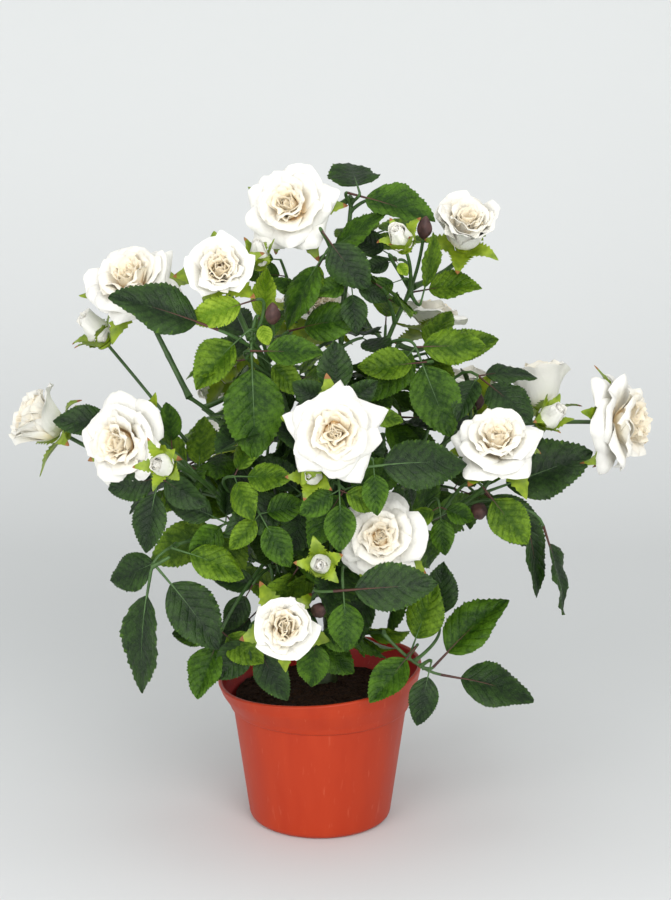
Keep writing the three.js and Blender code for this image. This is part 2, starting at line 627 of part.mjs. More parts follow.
for (const [name, solid, material] of [
  ["pot", potSolid(), looks.pot],
  ["soil", soilSolid(), looks.soil],
  ["trunk", trunkSolid(), looks.stem],
]) {
  add(name, solid, material);
  place(solid);
}

// Boughs, each from the trunk to where it enters its mass. A short branch has none.
const branches = BRANCHES.map((branch, index) => {
  const curve = branchCurve(branch);
  const hasBough = curve.getLength() > BOUGH.shortest;
  return { ...branch, index, curve, split: hasBough ? BOUGH.share : 0, solids: [], leaves: [] };
});
for (const { name, curve, split } of branches.filter((branch) => branch.split > 0)) {
  const { rootRadius, tipRadius, sides, steps } = BOUGH;
  const bough = solidOf(limb(stretchOf(curve, 0, split), rootRadius, tipRadius, sides, steps));
  add("bough_" + name, bough, looks.stem);
  place(bough);
}

// Roses, each on a stalk that starts just clear of its branch.
ROSES.forEach((rose, index) => {
  const branch = branches.find(({ name }) => name === rose.branch);
  const order = ROSES.filter(({ branch: name }) => name === rose.branch).indexOf(rose);
  const { base, axis, solids } = roseHead(rose, index);
  const { radius, sides, steps, apart } = ROSE_STALK;
  const foot = base.clone().addScaledVector(axis, -0.1 * rose.width);
  const clear = STEM.tipRadius + radius + GAP + (order > 0 ? 0.6 : 0);
  const curve = stalkCurve(branch.curve, 1 - apart * order, foot, axis, clear);
  const stalk = limb(curve, radius, radius, sides, steps);
  const star = calyx(base, axis, rose.width, mix(0.5, -0.35, rose.open), index);
  const whole = fused([...solids, star, solidOf(stalk)]);
  add("rose_" + String(index + 1).padStart(2, "0"), whole, looks.petal);
  place(whole);
});

// Every branch's stem with its buds, before any leaf. A bud that would touch something is left out.
for (const { name, curve, split, solids } of branches) {
  const stem = stretchOf(curve, split > 0 ? split + (GAP + 0.1) / curve.getLength() : 0, 1);
  const rootRadius = split > 0 ? BOUGH.tipRadius : BOUGH.rootRadius;
  solids.push(solidOf(limb(stem, rootRadius, STEM.tipRadius, STEM.sides, STEM.steps)));
  for (const [order, bud] of BUDS.filter(({ branch }) => branch === name).entries()) {
    const whole = budSolid(bud, order, curve);
    if (!touches(whole, name)) solids.push(whole);
  }
  for (const solid of solids) place(solid, name);
}

// Leaves: first those that the bush is known by, on every branch, then the rest.
for (const branch of branches) {
  for (const leaf of featureLeaves(branch)) grow(branch, leaf);
}
for (const branch of branches) {
  for (const leaf of leavesByRule(branch)) grow(branch, leaf);
  add("foliage_" + branch.name, fused(branch.solids), looks.leaf);
}

export default bush;
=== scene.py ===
"""The looks of an artificial rose bush in a round plastic pot: cream fabric roses in leafy calyxes, pressed
fabric leaves with toothed edges, wired plastic stems, a moulded pot and its crumbly filling.

Every shape is worked out in millimetres, with +Z up and the origin at the centre of the pot's underside, and
is written into its mesh in metres. Thin things are closed sheets, made from a grid of points. Round things
are closed skins, made from a stack of rings. The branches, their leaves and their flowers follow the same
rule as the solids that they stand for."""

import math

import bpy
import numpy as np
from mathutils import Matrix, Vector


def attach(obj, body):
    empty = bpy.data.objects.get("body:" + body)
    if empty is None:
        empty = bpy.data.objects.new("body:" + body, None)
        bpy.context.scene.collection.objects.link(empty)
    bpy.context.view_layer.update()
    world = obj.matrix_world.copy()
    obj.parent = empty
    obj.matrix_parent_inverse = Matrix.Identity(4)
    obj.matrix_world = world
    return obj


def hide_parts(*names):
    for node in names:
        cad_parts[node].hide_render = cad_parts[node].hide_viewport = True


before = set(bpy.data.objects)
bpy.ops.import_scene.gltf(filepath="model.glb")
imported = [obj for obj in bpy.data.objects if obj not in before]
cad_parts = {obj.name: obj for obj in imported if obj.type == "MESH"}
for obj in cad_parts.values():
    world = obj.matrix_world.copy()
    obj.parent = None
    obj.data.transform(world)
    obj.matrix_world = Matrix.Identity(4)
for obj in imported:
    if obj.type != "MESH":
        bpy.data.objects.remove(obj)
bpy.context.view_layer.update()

# ---- driving dimensions, in millimetres
METRES = 0.001  # one millimetre
POT = {
    "base_radius": 36.5,
    "base_round": 4,
    "wall": 1.5,
    "floor": 2,
    "collar_foot": 62,
    "collar_foot_radius": 44.4,
    "collar_step": 1.6,
    "lip_height": 79,
    "lip_radius": 51.6,
    "lip_tilt": 0.088,  # the soft lip stands higher on the +X side: rise per millimetre of x
}
SOIL = {"edge": 66.5, "crown": 70, "gap": 0.4, "crumbs": 520}
GAP = 0.3
TRUNK = {
    "foot": (2, 10),
    "fork": (10, 6, 104),
    "tip": (3, 0, 152),
    "foot_radius": 5,
    "tip_radius": 2.4,
    "flare": 1.9,
    "flare_height": 7,
}
BOUGH = {"share": 0.34, "shortest": 66, "root_radius": 1.9, "tip_radius": 1.25}
STEM_TIP_RADIUS = 0.9
ROSE_STALK = {"foot_radius": 1.5, "head_radius": 1.05, "apart": 0.12}
BUD_STALK = {"radius": 0.8, "first": 0.94, "apart": 0.12}
LEAF_STALK = {"radius": 1.0, "end_radius": 0.72}
CROWN = {"centre": (4, 4, 196), "radius": (106, 100, 144)}
DISPLAY = (0, -0.96, 0.28)  # the way the dressed side looks
LEAF = {
    "thickness": 0.45,
    "width_share": 0.62,
    "widest": 0.42,
    "neck": 0.2,
    "petiole": 2.2,
    "spacing": 14.5,
    "turn": 137.5,
    "pair_angle": 66,
    "pair_scale": 0.84,
    "pair_step": 0.4,
    "side_veins": 7,
    "sizes": (27, 38),
    "five_share": 0.3,  # how many of the leaves have five leaflets
    "dark_share": 0.46,
    "green_share": 0.82,  # with the dark ones
}
# How far the leaves keep off: shares of a rose's width round its head and round its line of view, how far
# that line runs behind a rose, before it and before a known leaf, and the room round the pot's lip.
CLEAR = {"head": 0.62, "view": 0.6, "behind": 4, "rose": 70, "leaf": 60, "rim": 5, "wall": 6}
PETAL_THICKNESS = 0.45
SMALL_HEAD = 34  # a rose no wider than this has no outermost row
SEPAL = {"count": 5, "shortest": 12, "length_share": 0.24, "breadth": 0.3, "thickness": 0.5}
HIP = {"depth": 1.6, "depth_share": 0.1}

# Points along and across a shape; for leaflets, also how many points along there are to a step of the rib.
KNOWN_LEAF_GRID = (41, 11, 3)
RULE_LEAF_GRID = (31, 7, 4)
PETAL_GRID = (17, 13)
BUD_GRID = (15, 11)
SEPAL_GRID = (17, 5)

# Each branch leaves the trunk at a height and ends at its tip. Leaves start at `leafy`, thinned by `sparse`.
BRANCHES = [
    ("top", 151, (16, 8, 322), 0.25, 0.2),
    ("upper_left", 146, (-33, -38, 262), 0.1, 0),
    ("upper_right", 144, (46, -4, 280), 0.2, 0.3),
    ("left_high", 132, (-64, -12, 226), 0.3, 0.1),
    ("right_back", 137, (40, 40, 240), 0.2, 0.1),
    ("left", 118, (-56, -36, 186), 0.1, 0),
    ("right", 126, (84, 8, 212), 0.25, 0.1),
    ("front", 112, (3, -60, 202), 0.1, 0),
    ("right_front", 105, (68, -32, 176), 0.15, 0.25),
    ("low_left", 92, (-40, -38, 164), 0.3, 0.3),
    ("front_low", 98, (16, -50, 152), 0.1, 0.1),
    ("low_front", 84, (-10, -48, 128), 0.1, 0.1),
    ("low_right", 88, (32, -36, 112), 0.2, 0.2),
    ("back_high", 136, (-14, 50, 262), 0.1, 0),
    ("back_left", 122, (-60, 42, 206), 0.1, 0),
    ("back_right", 108, (62, 52, 176), 0.1, 0),
    ("back_low", 95, (-8, 62, 146), 0.1, 0),
]

# Roses: branch, place, the way the head looks, its width, how far it has opened, how pointed its petals are.
ROSES = [
    ("top", (-15.6, -10, 322.5), (-0.3, -0.8, 0.5), 45, 0.8, 0.7),
    ("upper_left", (-46.8, -45, 298), (-0.05, -0.85, 0.45), 31, 0.4, 0.1),
    ("left_high", (-92.8, -15, 288.5), (-0.28, -0.5, 0.8), 49, 0.8, 0.8),
    ("left", (-97.2, -50, 213.5), (-0.5, -0.82, 0.2), 45, 0.75, 0.5),
    ("left", (-140, 6, 209), (-0.8, -0.1, 0.5), 32, 0.35, 0.5),
    ("front", (7.4, -98, 232), (0.05, -0.97, 0.2), 45, 0.9, 1),
    ("upper_right", (72, 5, 306), (0.08, -0.66, 0.72), 29, 0.25, 0.2),
    ("right_back", (59, 60, 252), (0.2, 0.45, 0.85), 34, 0.7, 0.5),
    ("right", (112, 30, 219), (-0.1, 0.4, 0.88), 30, 0.3, 0.3),
    ("right", (155, -2, 210), (0.93, -0.34, 0.06), 50, 1, 0.6),
    ("right_front", (85, -60, 220), (-0.02, -0.52, 0.85), 43, 0.75, 0.8),
    ("front_low", (29, -75, 174), (-0.08, -0.9, 0.38), 44, 0.8, 0.3),
    ("low_front", (-16.2, -82, 131.2), (0.05, -0.93, 0.3), 30.5, 0.5, 0.1),
    ("back_high", (-14, 98, 242), (-0.2, 0.85, 0.5), 45, 0.9, 0.6),
    ("back_high", (0, 30, 264), (0.15, -0.5, 0.85), 34, 0.7, 0.4),
    ("back_left", (-54, 72, 222), (-0.6, 0.7, 0.35), 38, 0.8, 0.5),
    ("back_left", (-46, 94, 176), (-0.45, 0.88, 0.2), 32, 0.5, 0.2),
    ("back_right", (84, 86, 200), (0.55, 0.8, 0.3), 46, 0.9, 0.8),
    ("back_low", (4, 100, 168), (0, 0.97, 0.2), 44, 0.85, 0.4),
]

# Buds: branch, place, the way it looks, its width, and whether it is a brown one, still shut.
BUDS = [
    ("front_low", (1, -90, 165), (0, -0.97, 0.25), 10, False),
    ("left", (-74, -82, 212), (-0.35, -0.85, 0.3), 11, False),
    ("upper_right", (39, -30, 310), (-0.3, -0.55, 0.78), 12, False),
    ("upper_left", (-29, -24, 300), (-0.1, -0.3, 0.95), 10, False),
    ("left", (-111, 2, 257), (-0.6, -0.15, 0.8), 14, False),
    ("right", (114, -18, 218), (0.6, -0.5, 0.6), 12, False),
    ("front", (-3, -84, 207), (-0.2, -0.9, 0.3), 9, False),
    ("upper_left", (-22, -42, 275), (0, -0.3, 0.95), 8, True),
    ("upper_right", (51, -14, 311), (0.1, -0.2, 0.97), 8, True),
    ("right", (78, -4, 222), (0, -0.4, 0.9), 8, True),
    ("right_front", (78, -40, 176), (0.2, -0.9, 0.4), 9, True),
    ("low_front", (0, -72, 136), (0.4, -0.8, 0.5), 8, True),
    ("back_low", (-20, 90, 200), (-0.3, 0.8, 0.5), 11, False),
    ("back_right", (42, 88, 212), (0.1, 0.5, 0.85), 11, False),
]

DARK, MIDDLE, LIGHT, YOUNG = range(4)  # leaf tones, in the order of the leaf materials

# The compound leaves that the bush is known by: branch, place of the stalk's root along it, start and tip of
# the last leaflet, the way its upper side looks, number of leaflets, tone. A place over 1 is on a stalk.
FEATURE_LEAVES = [
    ("top", 0.98, (19, 8, 327), (15, 46, 334), (0, -0.8, 0.6), 1, DARK),
    ("top", 0.5, (16, -26, 283), (18, -38, 265), (0.1, -0.9, 0.35), 3, DARK),
    ("top", 0.97, (21, 0, 324), (56, -14, 317), (0.05, -0.62, 0.78), 1, MIDDLE),
    ("top", 0.75, (0, -18, 295), (-19, -30, 268), (-0.7, -0.6, 0.3), 1, MIDDLE),
    ("top", 1.8, (5, -28, 308), (22, -38, 286), (-0.1, -0.9, 0.4), 1, DARK),
    ("top", 0.65, (-9, -8, 279), (-24, -10, 285), (0, -0.8, 0.6), 1, MIDDLE),
    ("top", 0.8, (33, -4, 297), (16, -6, 308), (0, -0.9, 0.4), 1, DARK),
    ("top", 0.8, (6, -6, 299), (32, -14, 320), (-0.75, -0.35, 0.55), 1, MIDDLE),
    ("top", 0.72, (1, -16, 295), (-11, -24, 273), (-0.75, -0.6, 0.2), 1, LIGHT),
    ("upper_left", 0.8, (-32, -46, 251), (-30, -64, 210), (0.05, -0.9, 0.35), 1, MIDDLE),
    ("upper_left", 0.8, (-39, -46, 263), (-61, -54, 244), (-0.1, -0.85, 0.5), 1, LIGHT),
    ("upper_left", 0.75, (-27, -46, 258), (2, -52, 259), (0, -0.8, 0.6), 1, MIDDLE),
    ("upper_left", 0.7, (-24, -38, 250), (-7, -44, 237), (0, -0.9, 0.4), 1, LIGHT),
    ("upper_left", 0.5, (8, -62, 240), (7, -58, 266), (0, -0.9, 0.4), 3, DARK),
    ("upper_left", 0.9, (-56, -52, 273), (-97, -62, 291), (0.1, -0.75, 0.65), 1, DARK),
    ("upper_left", 0.98, (-28, -30, 268), (-24, -26, 294), (-0.5, -0.85, 0), 1, YOUNG),
    ("upper_left", 0.99, (-28, -40, 271), (-24, -46, 261), (0, -0.9, 0.4), 1, YOUNG),
    ("upper_left", 0.6, (-9, -20, 263), (19, -34, 274), (0, -0.8, 0.6), 1, MIDDLE),
    ("upper_left", 0.97, (-35, -48, 282), (-61, -54, 275), (0, -0.85, 0.5), 1, YOUNG),
    ("upper_right", 0.72, (50, -20, 246), (64, -38, 213), (0.1, -0.9, 0.4), 3, MIDDLE),
    ("upper_right", 0.95, (52, 2, 277), (79, -4, 283), (0.1, -0.65, 0.75), 1, LIGHT),
    ("upper_right", 0.96, (38, -14, 285), (23, -20, 281), (0, -0.85, 0.5), 1, MIDDLE),
    ("upper_right", 0.99, (36, -10, 294), (22, -14, 291), (0, -0.85, 0.5), 1, DARK),
    ("upper_right", 0.98, (37, -22, 297), (43, -26, 291), (0, -0.85, 0.5), 1, YOUNG),
    ("upper_right", 0.97, (51, -14, 280), (58, -16, 309), (0.85, -0.5, 0.1), 1, LIGHT),
    ("upper_right", 0.6, (47, -26, 247), (20, -34, 246), (0, -0.8, 0.6), 1, LIGHT),
    ("right_back", 0.8, (59, 14, 243), (88, 8, 250), (0.1, -0.75, 0.65), 3, LIGHT),
    ("left", 0.9, (-78, -60, 193), (-85, -66, 163), (-0.3, -0.9, 0.2), 3, DARK),
    ("left", 0.6, (-36, -58, 199), (-13, -70, 202), (0, -0.85, 0.5), 3, LIGHT),
    ("left", 0.75, (-50, -48, 175), (-73, -52, 188), (-0.1, -0.8, 0.6), 3, DARK),
    ("left", 0.97, (-100, -16, 213), (-130, -20, 219), (0, -0.75, 0.65), 1, DARK),
    ("left", 0.9, (-72, -30, 207), (-73, -36, 228), (0.1, -0.9, 0.4), 1, MIDDLE),
    ("right", 0.85, (91, -14, 181), (136, -12, 197), (0, -0.8, 0.6), 3, DARK),
    ("right", 0.6, (82, -22, 236), (102, -44, 224), (-0.1, -0.5, 0.85), 3, DARK),
    ("front", 0.85, (28, -84, 212), (70, -82, 216), (0.05, -0.8, 0.6), 1, DARK),
    ("front", 1.85, (26, -84, 210), (28, -92, 190), (0, -0.95, 0.3), 1, MIDDLE),
    ("front", 0.65, (10, -84, 195), (11, -92, 172), (0, -0.95, 0.3), 3, MIDDLE),
    ("front", 0.8, (23, -56, 230), (40, -60, 226), (0, -0.85, 0.5), 1, LIGHT),
    ("right_front", 0.97, (102, -40, 168), (110, -46, 134), (0.82, -0.5, 0.3), 1, DARK),
    ("right_front", 0.7, (59, -46, 176), (61, -54, 158), (0, -0.9, 0.4), 3, MIDDLE),
    ("right_front", 0.9, (83, -48, 186), (101, -56, 164), (0.1, -0.9, 0.4), 1, LIGHT),
    ("right_front", 0.95, (112, -40, 161), (124, -38, 123), (0.92, -0.3, 0.2), 1, DARK),
    ("low_left", 0.97, (-83, -62, 142), (-91, -72, 94), (-0.8, -0.6, 0.3), 1, DARK),
    ("low_left", 1.93, (-78, -58, 156), (-104, -50, 142), (-0.2, -0.8, 0.6), 1, DARK),
    ("low_left", 1.9, (-73, -60, 147), (-46, -70, 117), (0, -0.9, 0.45), 1, DARK),
    ("low_left", 1.5, (-64, -62, 162), (-35, -70, 155), (0, -0.8, 0.6), 1, LIGHT),
    ("low_left", 0.7, (-50, -54, 113), (-61, -62, 87), (-0.2, -0.9, 0.35), 3, MIDDLE),
    ("low_left", 0.5, (-26, -62, 177), (-14, -72, 158), (0.1, -0.95, 0.3), 3, MIDDLE),
    ("low_left", 0.75, (-30, -36, 137), (-52, -38, 141), (0, -0.85, 0.5), 1, DARK),
    ("low_left", 0.62, (-35, -40, 134), (-46, -46, 116), (0, -0.9, 0.4), 1, DARK),
    ("low_left", 0.6, (-33, -34, 120), (-52, -38, 102), (0, -0.85, 0.5), 1, DARK),
    ("front_low", 0.7, (15, -90, 152.5), (55, -97, 158), (0.05, -0.85, 0.5), 1, DARK),
    ("front_low", 0.8, (12, -84, 146), (14, -90, 121), (0, -0.9, 0.4), 1, MIDDLE),
    ("low_front", 0.9, (-2, -66, 119), (-3, -68, 94), (0, -0.95, 0.3), 3, MIDDLE),
    ("low_front", 0.6, (-30, -56, 111), (-16, -62, 85), (0, -0.95, 0.3), 3, DARK),
    ("low_right", 0.97, (68, -44, 91), (107, -48, 85), (0, -0.65, 0.75), 1, DARK),
    ("low_right", 1.66, (62, -42, 102), (90, -38, 132), (-0.2, -0.7, 0.7), 1, MIDDLE),
    ("low_right", 1.62, (54, -48, 95), (48, -58, 71), (0.1, -0.9, 0.3), 1, DARK),
    ("low_right", 1.4, (44, -48, 104), (25, -58, 83), (-0.1, -0.9, 0.4), 1, MIDDLE),
    ("low_right", 1.42, (47, -42, 109), (57, -44, 139), (-0.2, -0.8, 0.5), 1, LIGHT),
    ("low_right", 1.5, (60, -30, 117), (60, -34, 146), (0, -0.8, 0.6), 1, DARK),
]

# Rows of petals from the outermost in. Lengths, widths and heights are shares of the head's radius. `rise`
# holds the angles above the head's base plane at which a petal sets out and ends, and `roll` is how far its
# rim then turns back, all in degrees; in every pair the first value is an open head's and the second a shut
# one's.
PETAL_COLUMNS = ("petals", "length", "rise", "roll", "width", "foot")
PETAL_ROWS = [
    dict(zip(PETAL_COLUMNS, row))
    for row in (
        (5, (1.2, 1.55), ((8, 22), (8, 100)), (105, 36), 1.3, 0),
        (5, (1.08, 1.45), ((18, 30), (26, 100)), (95, 32), 1.2, 0.03),
        (5, (0.94, 1.38), ((26, 38), (48, 99)), (85, 30), 1.04, 0.05),
        (5, (0.8, 1.3), ((32, 44), (66, 98)), (75, 28), 0.88, 0.07),
        (5, (0.72, 1.22), ((34, 48), (80, 96)), (62, 28), 0.74, 0.09),
        (4, (0.68, 1.16), ((34, 44), (92, 100)), (46, 24), 0.66, 0.1),
        (3, (0.66, 1.0), ((5, 12), (122, 116)), (10, 8), 0.62, 0.2),
        (3, (1.9, 1.9), ((5, 5), (112, 112)), (22, 22), 2.2, 0),
        (3, (1.7, 1.7), ((25, 25), (112, 112)), (6, 6), 1.9, 0.1),
    )
]
HEART_ROW = 6  # the innermost row of an open head; the two rows after it are a bud's
BUD_ROWS = (7, 8)
CLOTH_OF_ROW = np.array([0, 0, 1, 2, 3, 3, 3, 0, 0])  # white outside, honey at the heart


# ---- vectors, numbers and bends
def vec(*numbers):
    return np.array(numbers, float)


UP = vec(0, 0, 1)


def unit(v):
    return v / np.maximum(np.linalg.norm(v, axis=-1, keepdims=True), 1e-12)


def dot(a, b):
    return np.sum(a * b, axis=-1, keepdims=True)


def square(hint, along):
    """`hint` without its share along `along`, as a unit vector."""
    return unit(hint - dot(hint, along) * along)


def mix(a, b, t):
    return a + (b - a) * t


def smooth(t):
    """0 below 0, 1 above 1, and 3t^2 - 2t^3 between."""
    t = np.clip(t, 0, 1)
    return t * t * (3 - 2 * t)


def chance(a, b=0, c=0):
    """A number from 0 to 1 that is always the same for the same keys: the fraction of a large sine."""
    s = np.sin(a * 12.9898 + b * 78.233 + c * 37.719) * 43758.5453
    return s - np.floor(s)


def around_axis(axis):
    """Two unit vectors square to an axis, that turns about it are counted from."""
    side = square(vec(0, 1, 0) if abs(axis[2]) > 0.9 else UP, axis)
    return side, np.cross(axis, side)


def round_steps(count):
    """Angles spread evenly over a full turn."""
    return np.linspace(0, 2 * math.pi, count, endpoint=False)


def round_z(radius, angle, height, aside=0):
    """Points at a radius and a height, turned about +Z by an angle: (radius cos, radius sin, height), and
    `aside` off that radius, square to it."""
    x = radius * np.cos(angle) - aside * np.sin(angle)
    y = radius * np.sin(angle) + aside * np.cos(angle)
    return np.stack(np.broadcast_arrays(x, y, height), axis=-1)


def bend(root, middle, tip):
    return np.stack([root, middle, tip])

def on_bend(curve, t):
    """A quadratic Bezier: (1-t)^2 root + 2t(1-t) middle + t^2 tip."""
    t = np.asarray(t, float)[..., None]
    return (1 - t) ** 2 * curve[0] + 2 * t * (1 - t) * curve[1] + t * t * curve[2]


def way_of_bend(curve, t):
    """The unit direction of a bend: its derivative 2(1-t)(middle-root) + 2t(tip-middle)."""
    t = np.asarray(t, float)[..., None]
    return unit((1 - t) * (curve[1] - curve[0]) + t * (curve[2] - curve[1]))


BEND_STEPS = np.linspace(0, 1, 201)


def lengths_along(curve):
    """The length of a bend up to each of its 200 steps."""
    steps = np.linalg.norm(np.diff(on_bend(curve, BEND_STEPS), axis=0), axis=1)
    return np.concatenate([[0], np.cumsum(steps)])


def place_at(curve, share):
    """The bend's own parameter where that share of its length is behind."""
    lengths = lengths_along(curve)
    return np.interp(share, lengths / lengths[-1], BEND_STEPS)


def stretch_of(curve, start, end):
    """The stretch of a bend between two places on it, which is a bend too, by de Casteljau's rule."""
    middle = (
        (1 - start) * (1 - end) * curve[0]
        + (start * (1 - end) + end * (1 - start)) * curve[1]
        + start * end * curve[2]
    )
    return bend(on_bend(curve, start), middle, on_bend(curve, end))


TRUNK_CURVE = bend(vec(*TRUNK["foot"], SOIL["crown"]), vec(*TRUNK["fork"]), vec(*TRUNK["tip"]))


def trunk_at(height):
    """The trunk's axis and radius at a height, by stepping the parameter until the height fits."""
    rise = TRUNK["tip"][2] - SOIL["crown"]
    t = (height - SOIL["crown"]) / rise
    for _ in range(8):
        t += (height - on_bend(TRUNK_CURVE, t)[2]) / rise
    return on_bend(TRUNK_CURVE, t), mix(TRUNK["foot_radius"], TRUNK["tip_radius"], t)


def branch_curve(height, tip):
    """A branch rises from the trunk's side and arches out to its tip."""
    tip = vec(*tip)
    point, radius = trunk_at(height)
    out = square(tip - point, UP)
    root = point + out * (radius + GAP + BOUGH["root_radius"])
    middle = mix(root, tip, 0.32)
    middle[2] = mix(root[2], tip[2], 0.66)
    return bend(root, middle, tip)


# ---- meshes from grids of points
def enclosed_volume(points, faces):
    """Six times the volume inside each closed copy, below 0 where its faces look inwards: the sum of
    a.(b x c) over its triangles, with a quad as two of them. `points` is (copies, vertices, 3), and `faces`
    is one copy's (faces, 3 or 4)."""
    a, b, c = (points[:, faces[:, k]] for k in (0, 1, 2))
    volume = np.einsum("nfk,nfk->n", a, np.cross(b, c))
    if faces.shape[1] == 4:
        volume += np.einsum("nfk,nfk->n", a, np.cross(c, points[:, faces[:, 3]]))
    return volume


def made_part(points, quads, triangles, uv, tones):
    """Copies of one closed shape as a single part: vertices, quads, triangles, uv per vertex and a material
    index per face. `tones` is (copies, quads), and a copy's triangles take the tone of its first quad. Faces
    that look inwards are turned round."""
    copies, count = points.shape[:2]
    centred = points - points.mean(axis=1, keepdims=True)
    volume = enclosed_volume(centred, quads) + enclosed_volume(centred, triangles)
    inside_out = (volume < 0)[:, None, None]
    shift = (np.arange(copies) * count)[:, None, None]
    turned = [np.where(inside_out, f[None, :, ::-1], f[None]) + shift for f in (quads, triangles)]
    tones = np.broadcast_to(np.asarray(tones), (copies, len(quads)))
    cap_tones = np.repeat(tones[:, :1], len(triangles), axis=1)
    return {
        "points": points.reshape(-1, 3),
        "quads": turned[0].reshape(-1, 4),
        "triangles": turned[1].reshape(-1, 3),
        "uv": np.broadcast_to(uv, (copies, count, 2)).reshape(-1, 2),
        "quad_tones": tones.reshape(-1),
        "triangle_tones": cap_tones.reshape(-1),
    }


def grid_quads(rows, columns, wrap=False):
    """Quads between neighbouring rows and columns of a grid, numbered row by row."""
    i = np.arange(rows - 1)[:, None]
    j = np.arange(columns if wrap else columns - 1)[None, :]
    following = (j + 1) % columns
    near, far = i * columns, (i + 1) * columns
    corners = [near + j, near + following, far + following, far + j]
    return np.stack([np.broadcast_to(c, (rows - 1, j.size)) for c in corners], axis=-1).reshape(-1, 4)


def sheets(surface, thickness, tones=0, lower_tone=None):
    """Closed thin sheets round a surface of (copies, rows, columns) points: an upper and a lower face, half
    the thickness out along the surface's normal on either side, that share the points of the edge. The lower
    face takes a tone of its own where one is given."""
    copies, rows, columns = surface.shape[:3]
    normal = unit(np.cross(np.gradient(surface, axis=1), np.gradient(surface, axis=2)))
    edge = np.zeros((rows, columns), bool)
    edge[[0, -1], :] = True
    edge[:, [0, -1]] = True
    offset = 0.5 * thickness * np.where(edge, 0, 1)[None, :, :, None] * normal
    upper = (surface + offset).reshape(copies, -1, 3)
    inner = np.flatnonzero(~edge.reshape(-1))
    lower = (surface - offset).reshape(copies, -1, 3)[:, inner]
    below = np.arange(rows * columns)
    below[inner] = rows * columns + np.arange(inner.size)
    quads = grid_quads(rows, columns)
    u, v = np.meshgrid(np.linspace(0, 1, rows), np.linspace(0, 1, columns), indexing="ij")
    uv = np.stack([u, v], axis=-1).reshape(-1, 2)
    tones = np.broadcast_to(np.asarray(tones), (copies, rows - 1))
    upper_tones = np.repeat(tones, columns - 1, axis=1)
    lower_tones = upper_tones if lower_tone is None else np.full_like(upper_tones, lower_tone)
    return made_part(
        np.concatenate([upper, lower], axis=1),
        np.concatenate([quads, below[quads][:, ::-1]]),
        np.zeros((0, 3), int),
        np.concatenate([uv, uv[inner]]),
        np.concatenate([upper_tones, lower_tones], axis=1),
    )


def skins(rings, tones=0):
    """Closed skins from stacks of rings, (copies, rings, points round each ring), with each end ring closed
    to its middle."""
    copies, rows, columns = rings.shape[:3]
    ends = np.stack([rings[:, 0].mean(axis=1), rings[:, -1].mean(axis=1)], axis=1)
    j = np.arange(columns)
    following = (j + 1) % columns
    first, last = rows * columns, rows * columns + 1
    below = np.stack([np.full(columns, first), following, j], axis=1)
    above = np.stack([np.full(columns, last), first - columns + j, first - columns + following], axis=1)
    u, v = np.meshgrid(np.linspace(0, 1, rows), np.arange(columns) / columns, indexing="ij")
    uv = np.concatenate([np.stack([u, v], axis=-1).reshape(-1, 2), [[0, 0.5], [1, 0.5]]])
    tones = np.broadcast_to(np.asarray(tones), (copies, rows - 1))
    return made_part(
        np.concatenate([rings.reshape(copies, -1, 3), ends], axis=1),
        grid_quads(rows, columns, wrap=True),
        np.concatenate([below, above]),
        uv,
        np.repeat(tones, columns, axis=1),
    )


def tubes(paths, radius, sides, tones=0, relief=None):
    """A circle of `radius` carried along each path of (copies, points), square to the path. `radius` is per
    point, and `relief` multiplies it all round."""
    ways = unit(np.gradient(paths, axis=1))
    chord = unit(paths[:, -1] - paths[:, 0])
    hint = np.where(np.abs(chord[:, 2:]) > 0.8, vec(1, 0, 0), UP)
    side = square(hint[:, None, :], ways)
    other = np.cross(ways, side)
    turn = (np.arange(sides) * 2 * math.pi / sides)[None, None, :, None]
    radius = np.broadcast_to(radius, paths.shape[:2])[:, :, None, None]
    if relief is not None:
        radius = radius * relief[..., None]
    rings = paths[:, :, None] + radius * (np.cos(turn) * side[:, :, None] + np.sin(turn) * other[:, :, None])
    return skins(rings, tones)


def piece(name, parts, materials, replaced=(), sharp=80):
    """One mesh object from parts, in place in its mesh, riding on the bush. Edges steeper than `sharp`
    degrees are shaded as edges, so that thin sheets don't look puffed."""
    starts = np.cumsum([0] + [len(p["points"]) for p in parts[:-1]])
    points = np.concatenate([p["points"] for p in parts]) * METRES
    quads = np.concatenate([p["quads"] + s for p, s in zip(parts, starts)])
    triangles = np.concatenate([p["triangles"] + s for p, s in zip(parts, starts)])
    uv = np.concatenate([p["uv"] for p in parts])
    tones = np.concatenate([p["quad_tones"] for p in parts] + [p["triangle_tones"] for p in parts])
    corners = np.concatenate([quads.reshape(-1), triangles.reshape(-1)])
    sizes = np.concatenate([np.full(len(quads), 4), np.full(len(triangles), 3)])
    mesh = bpy.data.meshes.new(name)
    mesh.vertices.add(len(points))
    mesh.vertices.foreach_set("co", points.astype(np.float32).reshape(-1))
    mesh.loops.add(len(corners))
    mesh.loops.foreach_set("vertex_index", corners.astype(np.int32))
    mesh.polygons.add(len(sizes))
    mesh.polygons.foreach_set("loop_start", (np.cumsum(sizes) - sizes).astype(np.int32))
    mesh.polygons.foreach_set("material_index", tones.astype(np.int32))
    mesh.polygons.foreach_set("use_smooth", np.ones(len(sizes), bool))
    mesh.update(calc_edges=True)
    layer = mesh.uv_layers.new(name="Surface")
    layer.uv.foreach_set("vector", uv[corners].astype(np.float32).reshape(-1))
    for material in materials:
        mesh.materials.append(material)
    mesh.set_sharp_from_angle(angle=math.radians(sharp))
    made = bpy.data.objects.new(name, mesh)
    bpy.context.scene.collection.objects.link(made)
    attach(made, "root")
    if replaced:
        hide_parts(*replaced)


# ---- materials
def colour(code):
    """An sRGB hex code as linear red, green, blue and full alpha."""
    shares = np.array([int(code[i : i + 2], 16) for i in (1, 3, 5)]) / 255
    linear = np.where(shares <= 0.04045, shares / 12.92, ((shares + 0.055) / 1.055) ** 2.4)
    return (*linear.tolist(), 1.0)


